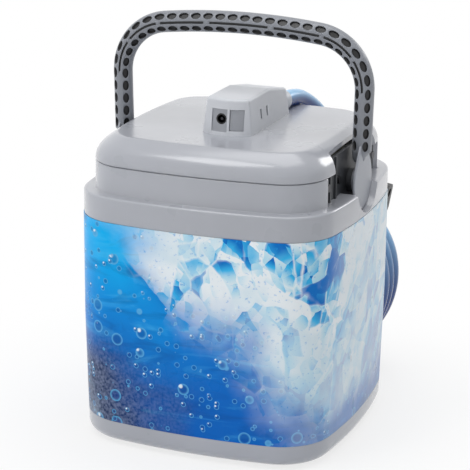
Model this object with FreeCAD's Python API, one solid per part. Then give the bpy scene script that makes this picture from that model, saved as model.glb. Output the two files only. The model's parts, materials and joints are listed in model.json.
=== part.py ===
import FreeCAD, Part
import math
import os

# Motorised cold therapy cooler, in millimetres.  +Z is up, -Y is the front, and the origin lies on the
# floor under the middle of the tub.  Every side of the tub, neck and lid is slightly bowed.

V = FreeCAD.Vector

# Tub: outer form
body_half = 104.0
body_corner = 41.3
side_bow = 11.8
base_taper = 2.0
taper_height = 94.0
base_edge_round = 8.0
edge_steps = 4
shell_wall = 2.5
shell_floor = 3.0
foot_proud = 2.0
foot_seat = 1.0
foot_radius = 9.0
foot_inset = 36.0

# Heights of the bands, from the shell's underside up
base_strip_height = 17.0
label_height = 157.3
collar_height = 19.1
neck_height = 21.2
seam_gap = 0.4
lid_shoulder_height = 19.7
housing_height = 27.0

# Label, collar and neck
label_thickness = 0.5
collar_inset = 0.4
collar_edge_round = 2.0
neck_inset = 8.7
neck_corner = 36.4
neck_edge_round = 1.0
rim_wall = 3.0

# Reservoir and foam
liner_inset = 22.5
liner_corner = 28.0
liner_taper = 5.0
liner_wall = 2.5
liner_floor_z = 28.0
liner_floor_round = 10.0
liner_flange_reach = 2.0
liner_flange_thickness = 2.4
foam_gap = 0.3

# Lid
lid_wall = 2.5
shoulder_inset = 15.6
shoulder_power = 2.3
shoulder_steps = 6
crest_corner = 23.4
plug_gap = 0.6
plug_depth = 12.0
plug_wall = 2.2
plate_thickness = 2.5
plate_gap = 0.3
seal_width = 3.0
seal_groove_depth = 1.5
seal_proud = 0.2
lid_foam_gap = 2.2

# Side pockets, brackets and handle
handle_y = 1.6
pivot_above_ledge = 5.3
pocket_depth = 18.0
pocket_half = 58.0
lid_pocket_half = 44.0
pocket_flare = 0.6
pocket_gap = 0.5
bracket_thickness = 2.0
bracket_rise = 31.6
bracket_rib_depth = 1.5
bracket_rib_width = 2.5
bracket_rib_offsets = (36.0, 49.0)
boss_radius = 9.0
boss_height = 3.7
paddle_radius = 21.2
paddle_gap = 0.3
hub_radius = 9.0
hub_height = 5.2
paddle_thickness = 1.8
paddle_edge_round = 0.6
paddle_neck_radius = 11.0
paddle_neck_rise = 20.0
notch_gap = 1.0
notch_flare = 4.8
notch_flare_drop = 1.2
pin_radius = 4.0
pin_running_gap = 0.05
pin_reach = 10.2
handle_foot_outset = 5.0
handle_foot_rise = 23.0
handle_lean = 1.2
handle_radius = 8.2
arm_radius = 7.3
toe_radius = 5.2
toe_inset = 2.0
toe_drop = 4.5
handle_bore = 5.2
handle_core_gap = 0.1
handle_corner_radius = 40.0
handle_crown_radius = 535.0
handle_top_rise = 112.6

# Screws
screw_radius = 1.6
screw_head_radius = 3.1
screw_head_height = 1.8
bracket_screw_offsets = (28.0, 53.5)
bracket_screw_rise = 12.0

# Pump housing on the lid
housing_x = 4.2
housing_foot_half = 19.7
housing_top_half = 16.8
housing_front_y = -44.4
housing_front_bow = 7.0
housing_front_rake = 3.5
housing_flat_end_y = 6.6
housing_rear_y = 46.6
housing_rear_rake = 4.0
housing_rear_drop = 7.0
housing_wall = 2.0
housing_edge_round = 2.5
vent_count = 2
vent_pitch = 12.7
vent_width = 3.0
vent_height = 7.6
vent_rise = 12.0
vent_first_y = -16.2

# Front panel, power inlet and button
panel_left = -6.6
panel_right = 6.2
panel_low = 2.5
panel_high = 19.5
panel_recess = 0.8
panel_thickness = 1.6
jack_x = 1.4
jack_above_lid = 12.1
jack_radius = 4.1
jack_bore = 3.1
jack_depth = 9.5
jack_length = 13.0
jack_pin_radius = 1.05
jack_pin_setback = 1.0
button_left = 8.2
button_right = 18.0
button_low = 4.0
button_high = 19.0
button_gap = 0.4
button_recess = 1.0
button_thickness = 1.3
button_travel = 1.5
button_flange = 0.8
board_y = -22.4
board_thickness = 1.6
board_side_gap = 1.5
board_rise = 1.0
board_above_panel = 1.5
switch_width = 6.0
switch_gap = 0.2

# Pump
pump_y = -1.4
motor_radius = 13.0
motor_height = 38.0
shaft_radius = 1.5
shaft_gap = 0.06
shaft_in_motor = 6.0
shaft_end_gap = 1.0
shaft_hole_gap = 1.0
volute_radius = 22.0
volute_height = 19.0
volute_wall = 2.5
impeller_radius = 17.5
impeller_hub = 4.5
impeller_gap = 1.0
blade_count = 6
blade_thickness = 1.6
port_radius = 5.5
tube_radius = 3.0
tube_wall = 1.0
supply_x = -1.5
return_x = 10.0
riser_y = 26.6
riser_gap = 0.2
return_drop = 14.0
intake_radius = 6.0
intake_wall = 1.5
strainer_radius = 12.0
strainer_height = 28.0
strainer_wall = 1.8
strainer_slots = 10
strainer_slot_width = 2.6
strainer_slot_height = 16.0
strainer_above_floor = 4.0

# Hose and what is on it
hose_diameter = 13.0
hose_groove_gap = 0.8
gland_length = 22.0
gland_root_radius = 8.8
gland_mouth_radius = 7.8
gland_bore = 6.5
gland_stop = 4.0
coil_centre_x = 7.5
coil_centre_z = 79.2
coil_radius = 72.0
coil_front_y = 117.2
coil_back_y = 154.6
tie_width = 12.0
tie_thickness = 1.2
coupling_length = 32.0
coupling_height = 24.0
coupling_depth = 17.0
coupling_edge_round = 5.0
socket_radius = 3.5
socket_length = 12.0
socket_spacing = 11.0
ferrule_radius = 8.0
ferrule_length = 7.0
latch_width = 9.0
latch_length = 13.0
latch_proud = 1.6
latch_depth = 2.5
latch_gap = 0.4
latch_travel = 1.2

# The hose runs from the gland through a groove in the lid's rear shoulder.  Heights are from the crest.
lead_over_lid = [
    V(14.0, 58.6, 6.9),
    V(17.5, 78.2, 4.8),
    V(22.2, 98.1, -2.4),
    V(27.6, 114.7, -14.5),
    V(33.6, 127.6, -31.0),
]
# Then it comes down behind the tub and joins the coil.  Heights are from the coil's centre.
lead_to_coil = [
    V(40.0, 138.8, 104.8),
    V(49.0, 149.0, 76.8),
    V(58.4, 154.6, 50.9),
]
# Its end leaves the front of the coil, lies over the turns and carries the coupling
tail_from_coil = [
    V(-33.8, 117.2, 59.0),
    V(-14.4, 117.8, 73.1),
    V(8.0, 118.8, 81.7),
    V(31.9, 119.6, 84.2),
    V(52.6, 120.0, 80.6),
]

# Levels and places that follow from the dimensions above
base_z = foot_proud
label_z = base_z + base_strip_height
collar_z = label_z + label_height
ledge_z = collar_z + collar_height
rim_z = ledge_z + neck_height
lid_z = rim_z + seam_gap
crest_z = lid_z + lid_shoulder_height
housing_z = crest_z + housing_height
pivot_z = ledge_z + pivot_above_ledge
neck_half = body_half - neck_inset
liner_half = body_half - liner_inset
foot_spread = body_half - foot_inset
plug_half = liner_half - liner_wall - plug_gap
plug_z = lid_z - plug_depth
plate_top_z = lid_z + plate_thickness
volute_z = plug_z - volute_height
motor_z = plug_z + plug_wall
pocket_back = body_half - pocket_depth
hub_x = pocket_back + bracket_thickness + boss_height + paddle_gap
paddle_x = hub_x + hub_height
handle_foot_half = hub_x + handle_foot_outset
hose_radius = hose_diameter / 2.0
lead_route = [point + V(0, 0, crest_z) for point in lead_over_lid]
lead_route += [point + V(0, 0, coil_centre_z) for point in lead_to_coil]
tail_route = [point + V(0, 0, coil_centre_z) for point in tail_from_coil]

# Reach of a cutter past everything, its reach past the face it opens, and the slack in picking edges
far = 400.0
cut_over = 10.0
pick_slack = 0.01


# ---------------------------------------------------------------- helpers

def bowed_square(z, half, corner):
    """Closed wire at height z: four bowed sides, half wide at their middles, joined by corner arcs."""
    bow = side_bow * (half / body_half) ** 2
    side_radius = (half * half + bow * bow) / (2.0 * bow)
    drop = side_radius - half
    reach = side_radius - corner
    middle = (math.sqrt(2.0 * reach * reach - drop * drop) - drop) / 2.0
    turn = math.atan2(middle, middle + drop)
    edges = []
    for quarter in range(4):
        spin = FreeCAD.Rotation(V(0, 0, 1), 90.0 * quarter)

        def place(centre_x, centre_y, radius, angle):
            flat = V(centre_x + radius * math.cos(angle), centre_y + radius * math.sin(angle), 0)
            return spin.multVec(flat) + V(0, 0, z)

        side = [place(-drop, 0, side_radius, angle) for angle in (-turn, 0.0, turn)]
        bend = [place(middle, middle, corner, angle) for angle in (turn, math.pi / 4, math.pi / 2 - turn)]
        edges.append(Part.Arc(*side).toShape())
        edges.append(Part.Arc(side[2], bend[1], bend[2]).toShape())
    return Part.Wire(edges)


def loft(levels, ruled=True):
    """Solid through section levels, each (height, half width, corner radius)."""
    return Part.makeLoft([bowed_square(*level) for level in levels], True, ruled)


def rounded(level, z_edge, radius, side):
    """Levels round an edge at z_edge; side is 1 for a lower edge and -1 for an upper one."""
    angles = [math.radians(90.0 * step / edge_steps) for step in range(edge_steps, -1, -1)]
    levels = []
    for angle in angles:
        height = z_edge + side * radius * (1.0 - math.sin(angle))
        levels.append(level(height, radius * (1.0 - math.cos(angle))))
    return levels[::side]


def body_level(z, inset=0.0):
    """The tub's outer section at height z, moved in by inset."""
    rise = min((z - base_z) / taper_height, 1.0)
    half = body_half - base_taper * (1.0 - rise) - inset
    return z, half, body_corner - inset


def neck_level(z, inset=0.0):
    return z, neck_half - inset, neck_corner - inset


def liner_level(z, inset=0.0):
    """The reservoir's outer section at height z."""
    depth = (rim_z - z) / (rim_z - liner_floor_z)
    return z, liner_half - liner_taper * depth - inset, liner_corner - inset


def lid_levels(wall=0.0):
    """The lid's convex shoulder, from the seam up to the crest."""
    levels = []
    for step in range(shoulder_steps + 1):
        share = step / shoulder_steps
        drop = shoulder_inset * share ** shoulder_power
        corner = neck_corner + (crest_corner - neck_corner) * drop / shoulder_inset
        z = lid_z + share * (lid_shoulder_height - wall)
        levels.append((z, neck_half - drop - wall, corner - wall))
    return levels


def box(x_range, y_range, z_range):
    size = [high - low for low, high in (x_range, y_range, z_range)]
    return Part.makeBox(*size, V(x_range[0], y_range[0], z_range[0]))


def cylinder(radius, start, end):
    run = end - start
    return Part.makeCylinder(radius, run.Length, start, run)


def upright(radius, x, y, z_low, z_high):
    return cylinder(radius, V(x, y, z_low), V(x, y, z_high))


def prism(points, travel):
    """Straight prism over the polygon through points, along the vector travel."""
    return Part.Face(Part.makePolygon(points + [points[0]])).extrude(travel)


def mirrored(shape, side):
    return shape if side > 0 else shape.mirror(V(0, 0, 0), V(1, 0, 0))


def bend_radii(points):
    """The radius of each arc of a route: 0.45 of its shorter run over the tangent of half its turn."""
    radii = []
    for before, corner, after in zip(points, points[1:], points[2:]):
        half_turn = (corner - before).getAngle(after - corner) / 2.0
        shorter = min((corner - before).Length, (after - corner).Length)
        radii.append(0.45 * shorter / math.tan(half_turn))
    return radii


def route_wire(points):
    """Straight runs joined by tangent arcs, one arc at each inner point."""
    edges = []
    start = points[0]
    for before, corner, after, radius in zip(points, points[1:], points[2:], bend_radii(points)):
        into = (corner - before).normalize()
        out = (after - corner).normalize()
        half_turn = into.getAngle(out) / 2.0
        setback = radius * math.tan(half_turn)
        arc_start = corner - into * setback
        arc_end = corner + out * setback
        inward = (out - into).normalize()
        middle = corner + inward * (radius / math.cos(half_turn) - radius)
        edges.append(Part.LineSegment(start, arc_start).toShape())
        edges.append(Part.Arc(arc_start, middle, arc_end).toShape())
        start = arc_end
    edges.append(Part.LineSegment(start, points[-1]).toShape())
    return Part.Wire(edges)


def tube_along(wire, radius):
    """Solid round tube of the given radius along a wire."""
    first = wire.Edges[0]
    start = first.valueAt(first.FirstParameter)
    heading = first.tangentAt(first.FirstParameter)
    circle = Part.Wire([Part.makeCircle(radius, start, heading)])
    return wire.makePipeShell([circle], True, False)


# ---------------------------------------------------------------- tub

def foot_places():
    return [(x, y) for x in (-foot_spread, foot_spread) for y in (-foot_spread, foot_spread)]


def base_feet():
    return Part.makeCompound([upright(foot_radius, x, y, 0, base_z + foot_seat) for x, y in foot_places()])


def label_levels(inset):
    middle_z = base_z + taper_height
    return [body_level(label_z, inset), body_level(middle_z, inset), body_level(collar_z, inset)]


def bucket_shell():
    """Outer wall of the tub, with a shallow recess for the label and seats for the feet."""
    strip = loft(rounded(body_level, base_z, base_edge_round, 1) + [body_level(label_z)])
    wall = loft(label_levels(label_thickness))
    floor_z = base_z + shell_floor
    inner_round = base_edge_round - shell_wall

    def inner(z, inset):
        return body_level(z, inset + shell_wall)

    levels = rounded(inner, floor_z, inner_round, 1)
    levels += [body_level(base_z + taper_height, shell_wall), body_level(collar_z, shell_wall)]
    shell = strip.fuse(wall).cut(loft(levels))
    for x, y in foot_places():
        shell = shell.cut(upright(foot_radius, x, y, base_z, base_z + foot_seat))
    return shell.removeSplitter()


def label_wrap():
    return loft(label_levels(0.0)).cut(loft(label_levels(label_thickness)))


def liner_solid(grow, z_low, z_high):
    """The space that the reservoir takes between two heights, grown sideways."""
    return loft([liner_level(z_low, -grow), liner_level(z_high, -grow)])


def reservoir_liner():
    outer = loft(rounded(liner_level, liner_floor_z, liner_floor_round, 1) + [liner_level(rim_z)])
    flange_z = rim_z - liner_flange_thickness
    outer = outer.fuse(liner_solid(liner_flange_reach, flange_z, rim_z))
    floor_z = liner_floor_z + liner_wall

    def inner(z, inset):
        return liner_level(z, inset + liner_wall)

    levels = rounded(inner, floor_z, liner_floor_round - liner_wall, 1)
    return outer.cut(loft(levels + [liner_level(rim_z, liner_wall)]))


def insulation_foam():
    """Foam between the tub's wall and the reservoir."""
    inset = shell_wall + foam_gap
    floor_z = base_z + shell_floor + foam_gap

    def inner(z, extra):
        return body_level(z, inset + extra)

    levels = rounded(inner, floor_z, base_edge_round - shell_wall, 1)
    levels += [body_level(base_z + taper_height, inset), body_level(collar_z, inset)]
    hollow = loft([liner_level(liner_floor_z - foam_gap, -foam_gap), liner_level(collar_z, -foam_gap)])
    return loft(levels).cut(hollow)


# ---------------------------------------------------------------- handle pockets and rim

def pocket(side, half, z_low, z_high, grow, outer_x=body_half + cut_over):
    """Side pocket as a block, half long each way: its ends flare outwards, and grow moves back and ends."""
    back_x = pocket_back - grow
    flare = pocket_flare * (outer_x - back_x)
    low = handle_y - half - grow
    high = handle_y + half + grow
    corners = [(back_x, low), (outer_x, low - flare), (outer_x, high + flare), (back_x, high)]
    block = prism([V(x, y, z_low) for x, y in corners], V(0, 0, z_high - z_low))
    return mirrored(block, side)


def across(side, radius, x_low, x_high):
    """Cylinder about the handle's pivot axis, on one side."""
    rod = cylinder(radius, V(x_low, handle_y, pivot_z), V(x_high, handle_y, pivot_z))
    return mirrored(rod, side)


def notch_cone(side):
    """Flare of the round notch, from the paddle's outer face out to the collar's; it widens mostly upwards."""
    seat_x = paddle_x + paddle_thickness
    radius = paddle_radius + notch_gap
    outer_z = pivot_z + notch_flare - notch_flare_drop
    rings = []
    for x, z, reach in ((seat_x, pivot_z, radius), (body_half, outer_z, radius + notch_flare)):
        rings.append(Part.Wire([Part.makeCircle(reach, V(x, handle_y, z), V(1, 0, 0))]))
    return mirrored(Part.makeLoft(rings, True, True), side)


def bracket_screw_places():
    z = ledge_z + bracket_screw_rise
    return [(handle_y + way * offset, z) for way in (-1, 1) for offset in bracket_screw_offsets]


def bracket_screw_holes(side):
    holes = []
    for y, z in bracket_screw_places():
        hole = cylinder(screw_radius, V(pocket_back - rim_wall, y, z), V(body_half, y, z))
        holes.append(mirrored(hole, side))
    return holes


def rim_ring():
    """Collar, ledge and neck, hollow below, with the handle pockets and their round notches."""
    def collar(z, inset):
        return body_level(z, inset + collar_inset)

    ring = loft([collar(collar_z, 0.0)] + rounded(collar, ledge_z, collar_edge_round, -1))
    ring = ring.fuse(loft([neck_level(ledge_z)] + rounded(neck_level, rim_z, neck_edge_round, -1)))
    hollow = loft([neck_level(collar_z, rim_wall), neck_level(rim_z - rim_wall, rim_wall)])
    band_top_z = ledge_z - rim_wall
    band_inset = collar_inset + rim_wall
    hollow = hollow.fuse(loft([body_level(collar_z, band_inset), body_level(band_top_z, band_inset)]))
    hollow = hollow.cut(liner_solid(rim_wall, collar_z, rim_z))
    notch_radius = paddle_radius + notch_gap
    for side in (-1, 1):
        hollow = hollow.cut(pocket(side, pocket_half, ledge_z - rim_wall, rim_z, rim_wall))
        hollow = hollow.cut(across(side, notch_radius + rim_wall, pocket_back - rim_wall, body_half))
    ring = ring.cut(hollow)
    flange_z = rim_z - liner_flange_thickness
    ring = ring.cut(liner_solid(0.0, collar_z, rim_z))
    ring = ring.cut(liner_solid(liner_flange_reach, flange_z, rim_z))
    for side in (-1, 1):
        ring = ring.cut(pocket(side, pocket_half, ledge_z, rim_z, 0.0))
        ring = ring.cut(across(side, notch_radius, pocket_back, body_half + cut_over))
        ring = ring.cut(notch_cone(side))
        ring = ring.cut(across(side, pin_radius, pocket_back - rim_wall, body_half))
        for hole in bracket_screw_holes(side):
            ring = ring.cut(hole)
    return ring


def handle_bracket(side):
    """Dark plate that lines the pocket's back, narrower in the lid, with ribs and the pivot's boss."""
    face_x = pocket_back + bracket_thickness
    top_z = ledge_z + bracket_rise
    plate = pocket(1, pocket_half, ledge_z, rim_z, 0.0, face_x)
    plate = plate.fuse(pocket(1, lid_pocket_half, ledge_z, top_z, 0.0, face_x))
    plate = plate.fuse(across(1, paddle_radius + notch_gap, pocket_back, face_x))
    plate = plate.common(box((0, far), (-far, far), (0, top_z)))
    for way in (-1, 1):
        for offset in bracket_rib_offsets:
            middle = handle_y + way * offset
            y_range = (middle - bracket_rib_width / 2, middle + bracket_rib_width / 2)
            rib_top_z = top_z if offset < lid_pocket_half else rim_z
            plate = plate.fuse(box((face_x, face_x + bracket_rib_depth), y_range, (ledge_z, rib_top_z)))
    plate = plate.fuse(across(1, boss_radius, face_x, face_x + boss_height))
    plate = plate.cut(across(1, pin_radius, pocket_back, body_half))
    for hole in bracket_screw_holes(1):
        plate = plate.cut(hole)
    return mirrored(plate.removeSplitter(), side)


def pivot_pins():
    start = pocket_back - rim_wall
    end = pocket_back + pin_reach
    return Part.makeCompound([across(side, pin_radius, start, end) for side in (-1, 1)])


def bracket_screws():
    """Pan head screws that hold both brackets."""
    face_x = pocket_back + bracket_thickness
    screws = []
    for side in (-1, 1):
        for y, z in bracket_screw_places():
            shank = cylinder(screw_radius, V(pocket_back - rim_wall, y, z), V(face_x, y, z))
            head = cylinder(screw_head_radius, V(face_x, y, z), V(face_x + screw_head_height, y, z))
            screws.append(mirrored(shank.fuse(head), side))
    return Part.makeCompound(screws)


# ---------------------------------------------------------------- handle

def handle_edges():
    """Centre line of the bail, left to right: leaning arm, corner arc, long crowned top, corner arc, arm."""
    lean = math.radians(handle_lean)
    foot = V(handle_foot_half, handle_y, pivot_z + handle_foot_rise)
    up = V(math.sin(lean), 0, math.cos(lean))
    inward = V(-math.cos(lean), 0, math.sin(lean))
    top_z = pivot_z + handle_top_rise
    crown_centre = V(0, handle_y, top_z - handle_crown_radius)
    # The corner's centre lies on a line parallel to the arm, and inside the crown's circle.
    line_start = foot + inward * handle_corner_radius - crown_centre
    reach = handle_crown_radius - handle_corner_radius
    along = line_start.dot(up)
    rise = math.sqrt(along * along - line_start.dot(line_start) + reach * reach) - along
    centre = foot + inward * handle_corner_radius + up * rise
    arm_top = foot + up * rise
    out = (centre - crown_centre).normalize()
    shoulder = centre + out * handle_corner_radius
    middle = centre + (out - inward).normalize() * handle_corner_radius

    def flip(point):
        return V(-point.x, point.y, point.z)

    return [
        Part.LineSegment(flip(foot), flip(arm_top)).toShape(),
        Part.Arc(flip(arm_top), flip(middle), flip(shoulder)).toShape(),
        Part.Arc(flip(shoulder), V(0, handle_y, top_z), shoulder).toShape(),
        Part.Arc(shoulder, middle, arm_top).toShape(),
        Part.LineSegment(arm_top, foot).toShape(),
    ]


def paddle(side):
    """Thin round plate about the pivot that narrows to a round neck on the arm, with a hub on its inner side."""
    neck_z = pivot_z + paddle_neck_rise
    # The plate's straight sides are tangent to the pivot disc and to the neck's round end.
    tilt = math.asin((paddle_radius - paddle_neck_radius) / paddle_neck_rise)
    x = paddle_x
    sides = []
    for way in (1, -1):
        for radius, height in ((paddle_radius, pivot_z), (paddle_neck_radius, neck_z)):
            y = handle_y + way * radius * math.cos(tilt)
            sides.append(V(x, y, height + radius * math.sin(tilt)))
    disc_low = V(x, handle_y, pivot_z - paddle_radius)
    neck_high = V(x, handle_y, neck_z + paddle_neck_radius)
    outline = Part.Wire([
        Part.Arc(sides[2], disc_low, sides[0]).toShape(),
        Part.LineSegment(sides[0], sides[1]).toShape(),
        Part.Arc(sides[1], neck_high, sides[3]).toShape(),
        Part.LineSegment(sides[3], sides[2]).toShape(),
    ])
    plate = Part.Face(outline).extrude(V(paddle_thickness, 0, 0))
    face_x = x + paddle_thickness
    rim = [edge for edge in plate.Edges if edge.BoundBox.XMin > face_x - pick_slack]
    plate = plate.makeFillet(paddle_edge_round, rim)
    return mirrored(plate.fuse(across(1, hub_radius, hub_x, x)), side)


def stretch(edge, start_radius, end_radius):
    """Round bar along one edge of the bail, of a radius that changes evenly from its start to its end."""
    circles = []
    for at, radius in ((edge.FirstParameter, start_radius), (edge.LastParameter, end_radius)):
        circles.append(Part.Wire([Part.makeCircle(radius, edge.valueAt(at), edge.tangentAt(at))]))
    return Part.Wire([edge]).makePipeShell(circles, True, False)


def toe(arm_end):
    """The arm's closed end: it narrows inwards from the centre line's last edge to a ball."""
    foot = arm_end.valueAt(arm_end.LastParameter)
    heading = arm_end.tangentAt(arm_end.LastParameter)
    tip = foot - V(toe_inset, 0, toe_drop)
    rings = []
    for place, radius in ((foot, arm_radius), (tip, toe_radius)):
        rings.append(Part.Wire([Part.makeCircle(radius, place, heading)]))
    return Part.makeLoft(rings, True, True).fuse(Part.makeSphere(toe_radius, tip))


def handle_frame():
    """Grey bail: slim arms that thicken through the corners to the top, round paddle ends and a bore."""
    edges = handle_edges()
    radii = (arm_radius, arm_radius, handle_radius, handle_radius, arm_radius, arm_radius)
    frame = stretch(edges[0], radii[0], radii[1])
    for edge, start, end in list(zip(edges, radii, radii[1:]))[1:]:
        frame = frame.fuse(stretch(edge, start, end))
    for side in (-1, 1):
        frame = frame.fuse(mirrored(toe(edges[-1]), side))
        frame = frame.fuse(paddle(side))
    frame = frame.cut(tube_along(Part.Wire(edges), handle_bore))
    bore_end_x = pocket_back + pin_reach + paddle_gap
    for side in (-1, 1):
        frame = frame.cut(across(side, pin_radius + pin_running_gap, hub_x, bore_end_x))
    return frame


def handle_core():
    return tube_along(Part.Wire(handle_edges()), handle_bore - handle_core_gap)


# ---------------------------------------------------------------- lid

def hose_groove(wall=0.0):
    """Round channel along the hose's path, grown by wall."""
    return tube_along(route_wire(lead_route), hose_radius + hose_groove_gap + wall)


def lid_shell():
    """Lid cover: convex shoulder, flat top, pockets for the brackets and an opening under the housing."""
    outer = loft(lid_levels(), False)
    hollow = loft(lid_levels(lid_wall), False).cut(hose_groove(lid_wall))
    for side in (-1, 1):
        hollow = hollow.cut(pocket(side, lid_pocket_half, lid_z - cut_over, housing_z, pocket_gap + lid_wall))
    shell = outer.cut(hollow).cut(hose_groove()).cut(gland_cone())
    for side in (-1, 1):
        shell = shell.cut(pocket(side, lid_pocket_half, lid_z - cut_over, housing_z, pocket_gap))
    for x, y in housing_screw_places():
        shell = shell.cut(upright(screw_radius, x, y, lid_z, housing_z))
    shell = shell.cut(upright(motor_radius + plate_gap, housing_x, pump_y, lid_z, housing_z))
    for x in (supply_x, return_x):
        shell = shell.cut(upright(tube_radius + plate_gap, x, riser_y, lid_z, housing_z))
    return shell


def between_pockets(margin):
    """The space between the backs of the lid's two pockets, less a margin at each."""
    half = pocket_back - pocket_gap - margin
    return box((-half, half), (-far, far), (0, far))


def plug_level(z, inset=0.0):
    return z, plug_half - inset, liner_corner - liner_wall - plug_gap - inset


def pump_passages(z_low, z_high):
    """Holes through the lid's underside: the shaft and the two risers."""
    holes = upright(shaft_radius + shaft_hole_gap, housing_x, pump_y, z_low, z_high)
    for x in (supply_x, return_x):
        holes = holes.fuse(upright(tube_radius, x, riser_y, z_low, z_high))
    return holes


def seal_groove(z_low, z_high):
    inner = plug_half + plug_gap + liner_wall - seal_width
    corner = liner_corner - seal_width
    groove = loft([(z, inner + seal_width, corner + seal_width) for z in (z_low, z_high)])
    return groove.cut(loft([(z, inner, corner) for z in (z_low, z_high)]))


def lid_underside():
    """Plate inside the lid's lower edge, with the plug that reaches into the reservoir."""
    plate = loft([neck_level(z, lid_wall + plate_gap) for z in (lid_z, plate_top_z)])
    plate = plate.common(between_pockets(lid_wall + plate_gap))
    plug = loft(rounded(plug_level, plug_z, plug_wall, 1) + [plug_level(plate_top_z)])
    tray = plate.fuse(plug)
    tray = tray.cut(loft([plug_level(plug_z + plug_wall, plug_wall), plug_level(plate_top_z, plug_wall)]))
    tray = tray.cut(seal_groove(lid_z, lid_z + seal_groove_depth))
    return tray.cut(pump_passages(plug_z, plate_top_z))


def lid_seal():
    return seal_groove(lid_z - seal_proud, lid_z + seal_groove_depth)


def lid_foam():
    """Foam in the plug and under the lid's top, open round the motor and the risers."""
    z_low = plug_z + plug_wall + foam_gap
    z_high = crest_z - lid_wall - screw_head_height - foam_gap
    half = plug_half - plug_wall - lid_foam_gap
    foam = loft([(z, half, crest_corner - lid_wall) for z in (z_low, z_high)])
    foam = foam.cut(upright(motor_radius + foam_gap, housing_x, pump_y, z_low, z_high))
    for x in (supply_x, return_x):
        foam = foam.cut(upright(tube_radius + foam_gap, x, riser_y, z_low, z_high))
    return foam.cut(hose_groove(lid_wall + foam_gap))


# ---------------------------------------------------------------- pump housing

def housing_plan(z, half, front, rear):
    """Plan of the housing at height z, with its bowed front."""
    corner_y = front + housing_front_bow * (half / housing_foot_half) ** 2
    left = V(housing_x - half, corner_y, z)
    right = V(housing_x + half, corner_y, z)
    back_left = V(left.x, rear, z)
    back_right = V(right.x, rear, z)
    return Part.Wire([
        Part.Arc(left, V(housing_x, front, z), right).toShape(),
        Part.LineSegment(right, back_right).toShape(),
        Part.LineSegment(back_right, back_left).toShape(),
        Part.LineSegment(back_left, left).toShape(),
    ])


def housing_form(inset):
    """Tapered block of the housing, its top sloping down at the rear; inset moves every wall inwards."""
    top_z = housing_z - inset
    front = housing_front_y + inset
    rear = housing_rear_y - inset
    foot = housing_plan(crest_z, housing_foot_half - inset, front, rear)
    raked_front = front + housing_front_rake
    top = housing_plan(top_z, housing_top_half - inset, raked_front, rear - housing_rear_rake)
    block = Part.makeLoft([foot, top], True, True)
    slope = [
        V(-far, housing_flat_end_y, top_z),
        V(-far, far, top_z - housing_rear_drop * (far - housing_flat_end_y) / (rear - housing_flat_end_y)),
        V(-far, far, top_z + cut_over),
        V(-far, housing_flat_end_y, top_z + cut_over),
    ]
    return block.cut(prism(slope, V(2 * far, 0, 0)))


def housing_outer():
    form = housing_form(0.0)
    soft = [edge for edge in form.Edges if edge.BoundBox.ZMax > crest_z + pick_slack]
    return form.makeFillet(housing_edge_round, soft)


def panel_opening(gap=0.0):
    low = crest_z + panel_low - gap
    high = crest_z + panel_high + gap
    return box((panel_left - gap, panel_right + gap), (-far, board_y), (low, high))


def button_opening(gap=0.0):
    low = crest_z + button_low - gap
    high = crest_z + button_high + gap
    return box((button_left - gap, button_right + gap), (-far, board_y), (low, high))


def front_plate(outer, opening, recess, thickness):
    """Slice of the housing's front, of even thickness and set back by recess."""
    plate = outer.translated(V(0, recess, 0)).common(opening)
    return plate.cut(outer.translated(V(0, recess + thickness, 0)))


def vent_slots():
    """Upright slots in the housing's right side."""
    slots = []
    middle_z = crest_z + vent_rise
    for index in range(vent_count):
        y = vent_first_y + index * vent_pitch
        z_range = (middle_z - vent_height / 2, middle_z + vent_height / 2)
        slots.append(box((housing_x, far), (y, y + vent_width), z_range))
    return slots


def gland_axis():
    return (lead_route[1] - lead_route[0]).normalize()


def gland_root():
    return lead_route[0] - gland_axis() * gland_length


def gland_cone():
    return Part.makeCone(gland_root_radius, gland_mouth_radius, gland_length, gland_root(), gland_axis())


def pump_housing(outer):
    hollow = housing_form(housing_wall)
    shell = outer.cut(hollow)
    shell = shell.cut(panel_opening())
    shell = shell.cut(button_opening(button_gap))
    for slot in vent_slots():
        shell = shell.cut(slot)
    return shell.cut(gland_cone())


def jack_panel(outer):
    panel = front_plate(outer, panel_opening(), panel_recess, panel_thickness)
    return panel.cut(jack_cylinder(jack_radius, cut_over + jack_length, -cut_over))


def jack_cylinder(radius, length, start_depth=0.0):
    """Cylinder on the power inlet's axis, starting at the panel's face and running back."""
    face_y = housing_front_y + housing_front_rake / 2 + panel_recess
    z = crest_z + jack_above_lid
    start = V(jack_x, face_y + start_depth, z)
    return cylinder(radius, start, start + V(0, length, 0))


def power_jack():
    barrel = jack_cylinder(jack_radius, jack_length)
    return barrel.cut(jack_cylinder(jack_bore, jack_depth))


def jack_pin():
    return jack_cylinder(jack_pin_radius, jack_depth - jack_pin_setback, jack_pin_setback)


def power_button(outer):
    """Key that follows the housing's front, with a flange behind the wall that stops it coming out."""
    key = front_plate(outer, button_opening(), button_recess, button_thickness)
    back = button_recess + button_thickness
    flange = front_plate(outer, button_opening(button_gap + button_flange), back, button_flange)
    return key.fuse(flange)


def circuit_board():
    half = housing_top_half - housing_wall - board_side_gap
    z_range = (crest_z + board_rise, crest_z + panel_high + board_above_panel)
    return box((housing_x - half, housing_x + half), (board_y, board_y + board_thickness), z_range)


def button_back_y():
    """How far back the key's flange reaches, measured on the key."""
    return housing_front_y + button_recess + button_thickness + button_flange + housing_front_bow


def key_switch():
    """Tactile switch on the board, just behind the key at the end of its travel."""
    middle_x = (button_left + button_right) / 2
    middle_z = crest_z + (button_low + button_high) / 2
    x_range = (middle_x - switch_width / 2, middle_x + switch_width / 2)
    z_range = (middle_z - switch_width / 2, middle_z + switch_width / 2)
    return box(x_range, (button_back_y() + button_travel + switch_gap, board_y), z_range)


# ---------------------------------------------------------------- pump

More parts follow.
